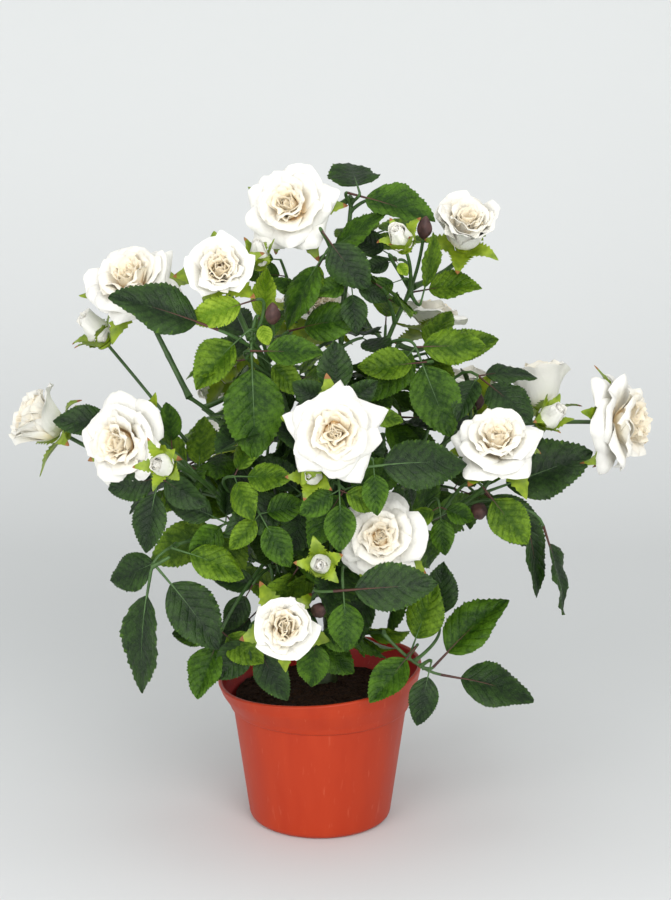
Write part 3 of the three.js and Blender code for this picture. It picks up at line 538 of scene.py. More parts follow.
def add(tree, kind, inputs=None, **settings):
    """Adds a node with its settings and fills its inputs, each from a number, a colour, a socket, or a node,
    which stands for the first output that it has in use."""
    made = tree.nodes.new("ShaderNode" + kind)
    for name, value in settings.items():
        setattr(made, name, value)
    for key, value in (inputs or {}).items():
        if isinstance(value, bpy.types.Node):
            value = next(out for out in value.outputs if out.enabled)
        if isinstance(value, bpy.types.NodeSocket):
            tree.links.new(value, made.inputs[key])
        else:
            made.inputs[key].default_value = value
    return made


def new_material(name):
    """An empty node material, the tree to fill, and the Object coordinates that its patterns read."""
    material = bpy.data.materials.new(name)
    material.use_nodes = True
    tree = material.node_tree
    tree.nodes.clear()
    return material, tree, add(tree, "TexCoord").outputs["Object"]


def finished(material, inputs):
    """Ends a material in a Principled shader with these inputs."""
    shader = add(material.node_tree, "BsdfPrincipled", inputs)
    add(material.node_tree, "OutputMaterial", {"Surface": shader.outputs[0]})
    return material


def per_mm(size):
    """The scale at which a pattern on Object coordinates repeats every `size` millimetres."""
    return 1 / (size * METRES)


def leaf_cloth(name, ground, pale, gloss):
    """Polyester satin, printed and then pressed hot between steel dies: the print is mottled, flecked and
    thins out to a paler green towards the edge, the dies press grooves along the side veins, and the satin
    has a soft gloss. The grooves are painted darker in the colour, as painted shade, and the cloth between
    them is painted a little darker in the valleys and paler on the pillows, as painted shade and light.
    Threads of 0.2 mm are too fine to show, so the grain is drawn at 0.7 mm."""
    material, tree, place = new_material(name)
    surface = add(tree, "SeparateXYZ", {0: add(tree, "UVMap", uv_map="Surface")})
    signed = add(tree, "Math", {0: surface.outputs["Y"], 1: 2.0, 2: -1.0}, operation="MULTIPLY_ADD")
    across = add(tree, "Math", {0: signed}, operation="ABSOLUTE")
    mottle = add(tree, "TexNoise", {"Vector": place, "Scale": per_mm(8), "Detail": 3.0, "Roughness": 0.6})
    fleck = add(tree, "TexNoise", {"Vector": place, "Scale": per_mm(1.8), "Detail": 3.0, "Roughness": 0.7})
    mottled = add(tree, "Math", {0: fleck, 1: mottle}, operation="ADD")
    patches = add(tree, "Math", {0: across, 1: 0.4, 2: mottled}, operation="MULTIPLY_ADD")
    slant = add(tree, "Math", {0: across, 1: -0.3, 2: surface.outputs["X"]}, operation="MULTIPLY_ADD")
    phase = add(tree, "Math", {0: slant, 1: 2 * math.pi * LEAF["side_veins"]}, operation="MULTIPLY")
    wave = add(tree, "Math", {0: phase}, operation="COSINE")
    valley = add(tree, "Math", {0: wave, 1: -0.5, 2: 0.5}, operation="MULTIPLY_ADD")
    vein = add(tree, "Math", {0: valley, 1: 8.0}, operation="POWER")
    # painted shade: the colour darkens towards a near black green in the vein grooves
    painted_vein_shade = add(tree, "Math", {0: vein, 1: 0.12}, operation="MULTIPLY")
    # the printed patches, plus painted shade and light: the colour share falls in the valleys between the
    # veins and rises on the pillows
    print_and_quilt_shade = add(tree, "Math", {0: valley, 1: -0.06, 2: patches}, operation="MULTIPLY_ADD")
    ends = {"Value": print_and_quilt_shade, "From Min": 0.82, "From Max": 1.66}
    share = add(tree, "MapRange", ends, interpolation_type="SMOOTHSTEP")
    print_tint = add(tree, "Mix", {0: share, 6: colour(ground), 7: colour(pale)}, data_type="RGBA")
    # painted shade in the vein grooves, mixed towards #10200E
    cloth = add(tree, "Mix", {0: painted_vein_shade, 6: print_tint, 7: colour("#10200E")}, data_type="RGBA")
    grain = add(tree, "TexNoise", {"Vector": place, "Scale": per_mm(0.7), "Detail": 2.0})
    pressed = add(tree, "Math", {0: vein, 1: -0.5, 2: grain}, operation="MULTIPLY_ADD")
    relief = add(tree, "Math", {0: fleck, 1: 0.8, 2: pressed}, operation="MULTIPLY_ADD")
    bump = add(tree, "Bump", {"Height": relief, "Strength": 0.7, "Distance": 0.5 * METRES})
    looks = {"Base Color": cloth, "Roughness": 0.42, "Specular IOR Level": gloss, "Normal": bump}
    return finished(material, looks)


def petal_cloth(name, rim, depth, depth_ends):
    """Polyester petal cloth, cut by a die and curled with a hot iron, tinted by hand from its foot: ivory at
    the rim, honey in the depths, dull, with fine crinkles that run from foot to rim. The light sinks a
    little into the cloth. The 0.2 mm weave is drawn at 0.6 mm."""
    material, tree, place = new_material(name)
    flat = add(tree, "UVMap", uv_map="Surface")
    surface = add(tree, "SeparateXYZ", {0: flat})
    cloud = add(tree, "TexNoise", {"Vector": place, "Scale": per_mm(5), "Detail": 2.0})
    uneven = add(tree, "Math", {0: cloud, 1: 0.3, 2: surface.outputs["X"]}, operation="MULTIPLY_ADD")
    ends = {"Value": uneven, "From Min": depth_ends - 0.12, "From Max": depth_ends + 0.38}
    share = add(tree, "MapRange", ends, interpolation_type="SMOOTHSTEP")
    tint = add(tree, "Mix", {0: share, 6: colour(depth), 7: colour(rim)}, data_type="RGBA")
    stretched = add(tree, "Mapping", {"Vector": flat, "Scale": (1.6, 11.0, 1.0)})
    # the place on the bush shifts the pattern, so that no two petals have the same crinkles
    moves = {0: place, 1: (60.0, 60.0, 60.0), 2: stretched}
    shifted = add(tree, "VectorMath", moves, operation="MULTIPLY_ADD")
    crinkle = add(tree, "TexNoise", {"Vector": shifted, "Scale": 1.0, "Detail": 3.0, "Roughness": 0.6})
    weave = add(tree, "TexNoise", {"Vector": place, "Scale": per_mm(0.6), "Detail": 2.0})
    relief = add(tree, "Math", {0: crinkle, 1: 3.0, 2: weave}, operation="MULTIPLY_ADD")
    looks = {
        "Base Color": tint,
        "Roughness": 0.85,
        "Specular IOR Level": 0.2,
        "Subsurface Weight": 0.25,
        "Subsurface Radius": (1.0, 1.0, 1.0),
        "Subsurface Scale": 1.2 * METRES,
        "Normal": add(tree, "Bump", {"Height": relief, "Strength": 0.4, "Distance": 0.35 * METRES}),
    }
    return finished(material, looks)


def soft_plastic(name, ground, other, roughness, blotch, relief=0.3):
    """Polyethylene moulded over wire: an even colour with faint flow marks `blotch` millimetres across, and
    a low waxy gloss."""
    material, tree, place = new_material(name)
    flow = add(tree, "TexNoise", {"Vector": place, "Scale": per_mm(blotch), "Detail": 3.0})
    share = add(tree, "MapRange", {"Value": flow, "From Min": 0.35, "From Max": 0.65})
    tint = add(tree, "Mix", {0: share, 6: colour(ground), 7: colour(other)}, data_type="RGBA")
    skin = add(tree, "TexNoise", {"Vector": place, "Scale": per_mm(1.2), "Detail": 3.0})
    bump = add(tree, "Bump", {"Height": skin, "Strength": relief, "Distance": 0.3 * METRES})
    return finished(material, {"Base Color": tint, "Roughness": roughness, "Normal": bump})


def pot_plastic(name, deep, bright):
    """Polypropylene, injection moulded in brick red: a satin surface with faint upright flow streaks, paler
    scuffs from handling, and grit of the mould 0.8 mm across."""
    material, tree, place = new_material(name)
    upright = add(tree, "Mapping", {"Vector": place, "Scale": (1.0, 1.0, 0.12)})
    streak = add(tree, "TexNoise", {"Vector": upright, "Scale": per_mm(9), "Detail": 3.0})
    ends = {"Value": streak, "From Min": 0.3, "From Max": 0.7}
    share = add(tree, "MapRange", ends)
    body = add(tree, "Mix", {0: share, 6: colour(deep), 7: colour(bright)}, data_type="RGBA")
    slanted = add(tree, "Mapping", {"Vector": place, "Rotation": (0.8, 0.6, 0.3), "Scale": (1.0, 1.0, 0.1)})
    hair = add(tree, "TexNoise", {"Vector": slanted, "Scale": per_mm(1.6), "Detail": 2.0, "Roughness": 0.4})
    scuffed = add(tree, "MapRange", {"Value": hair, "From Min": 0.66, "From Max": 0.76, "To Max": 0.3})
    tint = add(tree, "Mix", {0: scuffed, 6: body, 7: colour("#C8664A")}, data_type="RGBA")
    grit = add(tree, "TexNoise", {"Vector": place, "Scale": per_mm(0.8), "Detail": 2.0})
    gloss = add(tree, "MapRange", {**ends, "To Min": 0.38, "To Max": 0.5})
    bump = add(tree, "Bump", {"Height": grit, "Strength": 0.12, "Distance": 0.2 * METRES})
    looks = {"Base Color": tint, "Roughness": gloss, "Specular IOR Level": 0.3, "Normal": bump}
    return finished(material, looks)


def bark_crumb():
    """Ground bark and coir, glued loose: near black, each crumb its own brown, quite dull."""
    material, tree, place = new_material("bark_and_coir_crumb")
    grain = add(tree, "TexNoise", {"Vector": place, "Scale": per_mm(1.4), "Detail": 5.0, "Roughness": 0.7})
    share = add(tree, "MapRange", {"Value": grain, "From Min": 0.38, "From Max": 0.68})
    tint = add(tree, "Mix", {0: share, 6: colour("#150B06"), 7: colour("#46301F")}, data_type="RGBA")
    bump = add(tree, "Bump", {"Height": grain, "Strength": 0.9, "Distance": 1.2 * METRES})
    looks = {"Base Color": tint, "Roughness": 1.0, "Specular IOR Level": 0.15, "Normal": bump}
    return finished(material, looks)


LEAF_CLOTHS = [
    leaf_cloth("satin_leaf_pressed_deep_green", "#10240B", "#324F1A", 0.26),
    leaf_cloth("satin_leaf_pressed_green", "#1B3805", "#4E7317", 0.18),
    leaf_cloth("satin_leaf_pressed_light_green", "#2E4C04", "#6E8E20", 0.16),
    leaf_cloth("satin_leaf_pressed_young_green", "#587A0A", "#9AB436", 0.16),
    leaf_cloth("satin_leaf_pressed_dull_underside", "#2C4A14", "#506E2A", 0.12),
]
UNDERSIDE = 4
RIB_GREEN = soft_plastic("rib_moulded_green", "#365423", "#4C6E36", 0.5, 6)
RIB_RED = soft_plastic("rib_moulded_red_brown", "#40201A", "#553023", 0.5, 6)
RIB_TONES = {"green": len(LEAF_CLOTHS), "red": len(LEAF_CLOTHS) + 1}
PETAL_CLOTHS = [
    petal_cloth("petal_cloth_ironed_white", "#F6F4EC", "#F8F0DC", 0.3),
    petal_cloth("petal_cloth_ironed_ivory", "#F8F4E8", "#FCE8C0", 0.4),
    petal_cloth("petal_cloth_ironed_cream", "#FBF4E4", "#FFDFA8", 0.46),
    petal_cloth("petal_cloth_ironed_honey", "#FCF1DA", "#FFD48C", 0.48),
]
STEM_PLASTIC = soft_plastic("stem_polyethylene_moulded_green", "#2F4C1E", "#48682F", 0.42, 9)
SEPAL_PLASTIC = soft_plastic("sepal_film_pressed_yellow_green", "#667F0E", "#90A61E", 0.45, 5)
SEPAL_TIP = soft_plastic("sepal_film_sprayed_rust", "#7E4A20", "#A47238", 0.55, 3)
BUD_PLASTIC = soft_plastic("bud_moulded_dusty_brown", "#3C2522", "#5A3C36", 0.6, 3)
TRUNK_PLASTIC = soft_plastic("trunk_polyethylene_moulded_dark_green", "#1D2B12", "#33451F", 0.5, 5, 0.8)


# ---- leaves
def compound_leaf(root, end, tip, looks, leaflets, seed, tone):
    """A compound leaf: a stalk whose end carries the last leaflet and a pair, with a second pair behind it
    on a leaf of five. Each leaflet has its node, root, direction, upward look, length, seed and tone."""
    size = np.linalg.norm(tip - end)
    along = (tip - end) / size
    last = end - LEAF["neck"] * size * along
    stalk = bend(root, last - 0.35 * np.linalg.norm(last - root) * along, last)
    made = [(last, end, along, square(looks, along), size, seed, tone)]
    for pair in range((leaflets - 1) // 2):
        share = max(1 - pair * LEAF["pair_step"] * size / lengths_along(stalk)[-1], 0.25)
        place = place_at(stalk, share)
        node = on_bend(stalk, place)
        onward = way_of_bend(stalk, place)
        up = square(looks, onward)
        side = np.cross(up, onward)
        for hand in (-1, 1):
            angle = math.radians(LEAF["pair_angle"] + 16 * (chance(seed, pair, hand) - 0.5))
            way = math.cos(angle) * onward + hand * math.sin(angle) * side
            turned = square(up + 0.22 * hand * side, way)
            length = size * LEAF["pair_scale"] * (1 - 0.1 * pair)
            own = seed + 0.013 * (hand + 3 * pair)
            lighter = tone if chance(own, 7) < 0.65 or tone >= LIGHT else tone + 1
            made.append((node, node + 1.5 * way, way, turned, length, own, lighter))
    return stalk, made


def in_crown(p):
    """True if a point lies in the egg that is the crown's space."""
    away = (p - vec(*CROWN["centre"])) / vec(*CROWN["radius"])
    return away @ away < 1


def hides_rose(p):
    """True if a point hangs before a rose, on the side that the rose looks to or, for the roses of the
    dressed side, on that side, or if it is too near the rose's head."""
    for branch, at, faces, width, _, _ in ROSES:
        away = p - vec(*at)
        if away @ away < (CLEAR["head"] * width) ** 2:
            return True
        ways = [unit(vec(*faces))]
        if not branch.startswith("back_"):
            ways.append(unit(vec(*DISPLAY)))
        for way in ways:
            before = away @ way
            across = math.sqrt(max(away @ away - before * before, 0))
            if -CLEAR["behind"] < before < CLEAR["rose"] and across < CLEAR["view"] * width:
                return True
    return False


def hides_feature(p):
    """True if a point hangs before the middle of a feature leaf, as seen from the dressed side."""
    ends, tips = (np.array([leaf[k] for leaf in FEATURE_LEAVES], float) for k in (2, 3))
    away = p - (ends + tips) / 2
    before = away @ unit(vec(*DISPLAY))
    across = np.linalg.norm(away - before[:, None] * unit(vec(*DISPLAY)), axis=1)
    covered = across < 0.5 * np.linalg.norm(tips - ends, axis=1)
    return bool(np.any((before > 0) & (before < CLEAR["leaf"]) & covered))


def in_pot(p):
    """True if a point is inside the pot or too near its wall."""
    outside = math.hypot(p[0], p[1]) - POT["lip_radius"]
    return p[2] < POT["lip_height"] + CLEAR["rim"] and outside < CLEAR["wall"]


def feature_leaves(index, name, curve):
    """The compound leaves that a branch is known by. One whose place is over 1 sits on the stalk of the last
    leaf that has its own place on the branch."""
    own = [leaf for leaf in FEATURE_LEAVES if leaf[0] == name]
    for k, (_, along, end, tip, looks, leaflets, tone) in enumerate(own):
        root = on_bend(curve, along) if along <= 1 else on_bend(spray, along - 1)
        made = compound_leaf(root, vec(*end), vec(*tip), unit(vec(*looks)), leaflets, index + 0.1 * k, tone)
        if along <= 1:
            spray = made[0]
        yield made


def leaves_by_rule(index, curve, leafy, sparse):
    """The rest of a branch's compound leaves, one after another round the stem at a fixed turn."""
    count = int(lengths_along(curve)[-1] * (1 - leafy) / LEAF["spacing"])
    for k in range(count):
        if chance(index, k, 1) < sparse:
            continue
        place = leafy + (k + 0.5) / count * (0.99 - leafy)
        root = on_bend(curve, place)
        onward = way_of_bend(curve, place)
        side, other = around_axis(onward)
        turn = math.radians(LEAF["turn"] * k + 90 * index)
        way = 0.85 * (math.cos(turn) * side + math.sin(turn) * other) + 0.5 * onward
        way[2] += 0.12 - 0.5 * chance(index, k, 2)
        way = unit(way)
        size = mix(*LEAF["sizes"], chance(index, k, 3))
        leaflets = 5 if chance(index, k, 4) < LEAF["five_share"] else 3
        end = root + size * (1.05 if leaflets == 5 else 0.6) * way
        tip = end + size * way - vec(0, 0, 0.25 * size)
        sway = vec(0.5 * (chance(index, k, 5) - 0.5), -0.15, 0.55)
        looks = unit(0.75 * unit(root - vec(*CROWN["centre"])) + sway)
        draw = chance(index, k, 6)
        tone = DARK if draw < LEAF["dark_share"] else MIDDLE if draw < LEAF["green_share"] else LIGHT
        yield compound_leaf(root, end, tip, looks, leaflets, index + 0.1 * k, tone)


def keeps_to_space(leaflet):
    """True if a leaflet stays in the crown, out of the pot and clear of the view of every rose."""
    _, root, along, looks, length, _, _ = leaflet
    points = [root + u * length * along - 0.1 * u * u * length * looks for u in (0.55, 1)]
    return all(in_crown(p) and not (hides_rose(p) or hides_feature(p) or in_pot(p)) for p in points)


def leaf_outline(u):
    """Half of a leaflet's width over its greatest: a power of the way from the root times a power of the
    way to the tip, 1 at the widest place."""
    widest = LEAF["widest"]
    foot = np.maximum(u / widest, 1e-4) ** (0.95 * widest / (1 - widest))
    return np.maximum(foot, 0.05) * ((1 - u) / (1 - widest)) ** 0.95 + 0.012


def leaflet_surfaces(leaflets, rows, columns):
    """Leaflets as grids. A point is `u` of the way to the tip and `v` from the midrib to an edge. The blade
    is creased along the midrib, droops with u squared, waves along its edges, is pressed in along its side
    veins and twists a little. Every other point of the edge is a tooth that leans towards the tip."""
    node, root, along, looks, length, seed, _ = (np.array(column) for column in zip(*leaflets))
    root, along, looks = (a[:, None, None, :] for a in (root, along, looks))
    length, seed = length[:, None, None], seed[:, None, None]
    u = np.linspace(0, 1, rows)[None, :, None]
    v = np.linspace(-1, 1, columns)[None, None, :]
    side = np.cross(looks, along)

    def between(low, high, key):
        return mix(low, high, chance(seed, key, 11))

    edge = (np.abs(v) > 0.999) * (np.arange(rows) % 2)[None, :, None] * smooth(12 * u) * smooth(12 * (1 - u))
    jag = edge * (0.6 + 0.8 * chance(seed, np.arange(rows)[None, :, None], 13))
    x = mix(LEAF["petiole"], length, u) + 0.5 * length / rows * jag
    half = 0.5 * LEAF["width_share"] * between(0.84, 1.08, 1) * length * leaf_outline(u)
    y = v * half * (1 + 0.03 * jag) + 0.3 * length / rows * jag * v
    sides = np.where(v < 0, 1.0, -1.0)
    wave = np.sin(2 * math.pi * (between(1.2, 2.2, 2) * u + between(0, 1, 3)) + sides * between(0, 3, 4))
    veins = np.cos(2 * math.pi * LEAF["side_veins"] * (u - 0.3 * np.abs(v)))
    body = 4 * np.abs(v) * (1 - 0.75 * np.abs(v)) * smooth(6 * u) * smooth(4 * (1 - u))
    z = (
        between(0.05, 0.5, 5) * np.abs(y)
        - between(0.02, 0.22, 6) * length * u * u
        + between(0.012, 0.036, 7) * length * wave * v * v * smooth(3 * u)
        - between(-0.02, 0.09, 8) * length * v**4 * leaf_outline(u)
        + between(0.006, 0.012, 9) * length * veins * body
    )
    twist = between(-0.45, 0.45, 10) * (u - 0.15)
    sway = between(-0.07, 0.07, 12) * length * u * u
    y, z = y * np.cos(twist) - z * np.sin(twist) + sway, y * np.sin(twist) + z * np.cos(twist)
    surface = root + along * x[..., None] + side * y[..., None] + looks * z[..., None]
    return node, surface


def leaf_parts(leaflets, rows, columns, rib_step):
    """The blades of leaflets, and their ribs: a fine tube from each leaflet's node up along its midrib."""
    node, surface = leaflet_surfaces(leaflets, rows, columns)
    lengths, seeds, tones = (np.array(column)[:, None] for column in list(zip(*leaflets))[4:])
    blades = sheets(surface, LEAF["thickness"], tones, UNDERSIDE)
    rib = np.concatenate([node[:, None], surface[:, : rows - 2 : rib_step, columns // 2]], axis=1)
    t = np.linspace(0, 1, rib.shape[1])[None, :]
    radius = mix(0.62, 0.12, t**0.5) * lengths / 34
    reddish = (t[:, :-1] < 0.55) & (chance(seeds, 3, 5) < 0.5)
    ribs = tubes(rib, radius, 5, np.where(reddish, RIB_TONES["red"], RIB_TONES["green"]))
    return [blades, ribs]


def stalk_part(stalks, tone):
    """Leaf stalks as tubes, thicker where they leave the stem."""
    share = np.linspace(0, 1, 9)
    paths = np.stack([on_bend(stalk, share) for stalk in stalks])
    joint = 0.5 * np.exp(-((share / 0.07) ** 2))
    radius = mix(LEAF_STALK["radius"], LEAF_STALK["end_radius"], share) + joint
    return tubes(paths, radius[None, :], 6, tone)


# ---- roses
def petal_surfaces(rows, radius, openness, pointed, seed, size):
    """Petals as grids in the head's own frame, +Z along its axis. `s` runs from the foot to the rim and `t`
    across. The line t=0 sets out at the row's first angle, turns evenly to its second, and its rim turns
    back; radius and height are the running sums of the cosine and sine of that angle. Across, the petal is
    an arc, as tight as its ring on the inner rows. The rim is waved, its side edges turn back on the outer
    rows, and one edge of a petal lies inside the next, as in a spiral. At the end the head is brought to
    its radius."""
    keys = [(row, k) for row in rows for k in range(PETAL_ROWS[row]["petals"])]
    row = np.array([key[0] for key in keys])[:, None, None]
    order = np.array([key[1] for key in keys])[:, None, None]
    shut = 1 - openness

    def of_row(name):
        return np.array([PETAL_ROWS[r][name] for r, _ in keys], float)

    def drawn(low, high, key):
        return mix(low, high, chance(seed + 0.37 * row, order, key))

    steps_along, steps_across = size
    s = np.linspace(0, 1, steps_along)[None, :, None]
    t = np.linspace(-1, 1, steps_across)[None, None, :]
    inner = np.minimum(row / HEART_ROW, 1)
    length, roll = (mix(of_row(n)[:, 0], of_row(n)[:, 1], shut)[:, None, None] for n in ("length", "roll"))
    rise = of_row("rise")
    start, end = (mix(rise[:, k, 0], rise[:, k, 1], shut)[:, None, None] for k in (0, 1))
    tilt = drawn(-9, 9, 1)
    roll_from = mix(drawn(0.52, 0.64, 2), drawn(0.68, 0.78, 2), inner)
    rolled = smooth((s - roll_from) / (1.12 - roll_from)) ** 1.2 * roll * drawn(0.6, 1.25, 3)
    uneven = 1 + drawn(-0.5, 0.5, 4) * t
    angle = np.radians(mix(start, end, smooth(s / mix(0.42, 0.62, inner))) + tilt - rolled * uneven)
    point = np.clip(pointed * (1 - 1.5 * inner) * drawn(0.75, 1.2, 5), 0, 1)
    # every line across from the middle is shorter by the share `cut`, which rounds or points the petal
    cut = mix(0.12, 0.44, point) * np.abs(t) ** mix(2.6, 1.1, point)
    step = length * radius * drawn(0.93, 1.07, 6) * (1 - cut) / (steps_along - 1)
    outward = np.cos(angle) * step
    out = mix(0.08, 0.04, inner) * radius + np.cumsum(outward, axis=1) - outward[:, :1]
    out = np.maximum(out, 0.02 * radius)
    height = of_row("foot")[:, None, None] * radius + np.cumsum(np.sin(angle) * step, axis=1)
    broad = mix(0.3, 1, np.sin(0.5 * math.pi * np.minimum(s / 0.66, 1)))
    broad = broad * (1 - 0.18 * point * smooth((s - 0.6) / 0.4))
    half = 0.5 * of_row("width")[:, None, None] * radius * drawn(0.9, 1.12, 7) * broad
    ring = np.maximum(out[:, :, steps_across // 2][:, :, None], 0.1 * radius)
    tight = mix(0.55 / radius, 0.95 / ring, smooth(1.3 * inner + 0.9 * shut))
    arc = np.clip(t * half * tight, -2.4, 2.4)
    across = np.sin(arc) / tight
    cupped = (1 - np.cos(arc)) / tight
    waves = np.sin(math.pi * (drawn(1.2, 2.4, 8) * t + drawn(0, 2, 9)))
    ruffle = mix(0.035, 0.085, inner) * radius * s**2 * waves
    fold = 0.022 * radius * s**3 * np.sin(math.pi * (drawn(3, 4.5, 10) * t + drawn(0, 2, 11)))
    sides = mix(drawn(0.06, 0.2, 12) * (1 - inner), 0.3, point)
    turned_back = sides * radius * np.abs(t) ** mix(3, 1.5, point) * smooth((s - 0.35) / 0.5)
    lift = cupped + ruffle + fold - turned_back * (1 - 0.7 * shut)
    spiral = 0.05 * radius * t * mix(0.6, 1, inner)
    out = out - lift * np.sin(angle) + spiral
    height = height + lift * np.cos(angle)
    petals = of_row("petals")[:, None, None]
    turn = 2 * math.pi * (order + 0.5 * (row % 2) + 0.21 * row) / petals + seed + drawn(-0.14, 0.14, 13)
    local = round_z(out, turn, height, across)
    rim = np.percentile(np.hypot(local[..., 0], local[..., 1]), 99.3)
    return local * radius / rim, row[:, 0, 0]


def placed(local, base, axis):
    """Points of a head's own frame, put on its base and turned to its axis."""
    side, other = around_axis(axis)
    return base + local[..., :1] * side + local[..., 1:2] * other + local[..., 2:] * axis


def head_frame(at, faces, width, openness):
    """The base and axis of a head. A shut head is deeper, and the base lies 0.7 of the depth back."""
    depth = mix(1.5, 0.62, openness) * width / 2
    axis = unit(vec(*faces))
    return vec(*at) - 0.7 * depth * axis, axis


def calyx_parts(base, axis, width, seed, spread, curl, hip):
    """Five sepals and the hip that they grow from. A sepal is broad at its foot with a few ragged teeth and
    tapers to a long rusty tip. It sets out at the angle `spread` above the head's base plane, and its outer
    part turns by an angle between the two of `curl`. The hip is a bowl of radius `hip` on a narrow neck."""
    rows, columns = SEPAL_GRID
    length = SEPAL["shortest"] + SEPAL["length_share"] * width
    k = np.arange(SEPAL["count"])[:, None, None]
    u = np.linspace(0, 1, rows)[None, :, None]
    v = np.linspace(-1, 1, columns)

    def drawn(low, high, key):
        return mix(low, high, chance(seed + 0.31, k, key))

    ragged = smooth(6 * (0.78 - u)) * smooth(8 * u)
    tooth = (np.abs(v) > 0.999) * (np.arange(rows) % 2)[None, :, None] * ragged
    half = length * SEPAL["breadth"] * drawn(0.85, 1.2, 1) * (smooth(5 * u + 0.45) * (1 - u) ** 0.75 + 0.02)
    across = v * half * (1 + 0.4 * tooth)
    angle = spread + drawn(-0.25, 0.25, 2) + drawn(*curl, 3) * smooth((u - 0.25) / 0.75)
    step = length * drawn(0.85, 1.08, 4) / (rows - 1)
    out = 0.8 * hip + np.cumsum(np.cos(angle) * step, axis=1)
    height = np.cumsum(np.sin(angle) * step, axis=1) - 0.6
    cupped = 0.28 * np.abs(across) * (1 - 0.6 * u) + 0.35 * np.sin(9 * u + k) * v * v
    out = out - cupped * np.sin(angle)
    height = height + cupped * np.cos(angle)
    turn = -(2 * math.pi * k / SEPAL["count"] + seed)
    drift = drawn(-0.12, 0.12, 5) * length * u * u
    surface = placed(round_z(out, turn, height, across + drift), base, axis)
    rusty = (u[:, :-1, 0] > 0.82) & (chance(seed, k[:, :, 0], 6) < 0.6)
    sepals = sheets(surface, SEPAL["thickness"], np.where(rusty, 1, 0))
    h = np.linspace(0, 1, 11)[None, :, None]
    bowl = mix(STEM_TIP_RADIUS, hip, np.sin(0.5 * math.pi * np.clip(1.5 * h - 0.2, 0, 1)) ** 0.8)
    drop = mix(-HIP["depth_share"] * width - HIP["depth"], 0, h)
    return [sepals, skins(placed(round_z(bowl, round_steps(12), drop), base, axis))]


def stalk_bend(branch_axis, place, base, axis):
    """A flower stalk leaves its branch at a place near the tip and arrives square to the calyx."""
    start = on_bend(branch_axis, place)
    return bend(start, base - 0.5 * np.linalg.norm(base - start) * axis, base)


def stalk_tube(curve, foot_radius, head_radius, sides, tone=0):
    """A stalk: tapered, with a thick joint at its foot and a moulded ring a third of the way up."""
    share = np.linspace(0, 1, 25)
    joints = 0.45 * np.exp(-((share / 0.04) ** 2)) + 0.3 * np.exp(-(((share - 0.36) / 0.02) ** 2))
    radius = mix(foot_radius, head_radius, share) + joints * head_radius
    return tubes(on_bend(curve, share)[None], radius[None, :], sides, tone)


def brown_bud(at, axis, width):
    """A bud still shut: an egg drawn out to a point, with five shallow furrows that wind round it."""
    h = np.linspace(0.02, 0.985, 15)[None, :, None]
    turn = round_steps(20)
    furrow = 1 + 0.06 * np.cos(5 * turn + 5 * h)
    radius = 0.46 * width * np.sin(math.pi * h**0.85) ** 0.75 * furrow
    return skins(placed(round_z(radius, turn, (h - 0.45) * 1.55 * width), vec(*at), axis))


def before_on_branch(rows, index):
    """How many rows of a table before this one are on the same branch."""
    return sum(row[0] == rows[index][0] for row in rows[:index])


# ---- growing the bush
branches = {}
for name, height, tip, _, _ in BRANCHES:
    curve = branch_curve(height, tip)
    has_bough = lengths_along(curve)[-1] > BOUGH["shortest"]
    branches[name] = (curve, height, BOUGH["share"] if has_bough else 0)

for index, (name, _, _, leafy, sparse) in enumerate(BRANCHES):
    curve = branches[name][0]
    known = list(feature_leaves(index, name, curve))
    ruled = [
        (stalk, [leaflet for leaflet in leaflets if keeps_to_space(leaflet)])
        for stalk, leaflets in leaves_by_rule(index, curve, leafy, sparse)
    ]
    parts = []
    for leaves, grid in ((known, KNOWN_LEAF_GRID), (ruled, RULE_LEAF_GRID)):
        together = [leaflet for _, leaflets in leaves for leaflet in leaflets]
        if together:
            parts += leaf_parts(together, *grid)
    parts.append(stalk_part([stalk for stalk, leaflets in known + ruled if leaflets], RIB_TONES["green"]))
    piece("leaves_" + name, parts, [*LEAF_CLOTHS, RIB_GREEN, RIB_RED], ["foliage_" + name])

rose_stalks, sepal_parts = [], []
for index, (branch, at, faces, width, openness, pointed) in enumerate(ROSES):
    base, axis = head_frame(at, faces, width, openness)
    rows = range(0 if width > SMALL_HEAD else 1, HEART_ROW + 1)
    grids, row = petal_surfaces(rows, width / 2, openness, pointed, index, PETAL_GRID)
    name = "rose_" + str(index + 1).zfill(2)
    petals = sheets(placed(grids, base, axis), PETAL_THICKNESS, CLOTH_OF_ROW[row][:, None])
    piece("petals_" + name, [petals], PETAL_CLOTHS, [name])
    spread = mix(0.7, -0.25, openness)
    sepal_parts += calyx_parts(base, axis, width, index, spread, (-1.3, 0.8), 1 + 0.1 * width)
    place = 1 - ROSE_STALK["apart"] * before_on_branch(ROSES, index)
    curve = stalk_bend(branches[branch][0], place, base - HIP["depth_share"] * width * axis, axis)
    rose_stalks.append(stalk_tube(curve, ROSE_STALK["foot_radius"], ROSE_STALK["head_radius"], 10))

bud_petals, brown_buds, bud_stalks = [], [], []
for index, (branch, at, faces, width, brown) in enumerate(BUDS):
    axis = unit(vec(*faces))
    base = vec(*at) - 0.6 * width * axis
    place = BUD_STALK["first"] - BUD_STALK["apart"] * before_on_branch(BUDS, index)
    curve = stalk_bend(branches[branch][0], place, base, axis)
    bud_stalks.append(stalk_tube(curve, BUD_STALK["radius"] * 1.2, BUD_STALK["radius"], 8))
    if brown:
        brown_buds.append(brown_bud(at, axis, width))
    else:
        grids, _ = petal_surfaces(BUD_ROWS, 0.5 * width, 0.5, 0.2, index + 0.5, BUD_GRID)
        bud_petals.append(sheets(placed(grids, base, axis), PETAL_THICKNESS))
        sepal_parts += calyx_parts(base, axis, width, index + 40, 1.1, (-1.6, 0.1), 0.34 * width)

piece("white_buds", bud_petals, PETAL_CLOTHS[:1])
piece("brown_buds", brown_buds, [BUD_PLASTIC])
piece("sepals", sepal_parts, [SEPAL_PLASTIC, SEPAL_TIP])

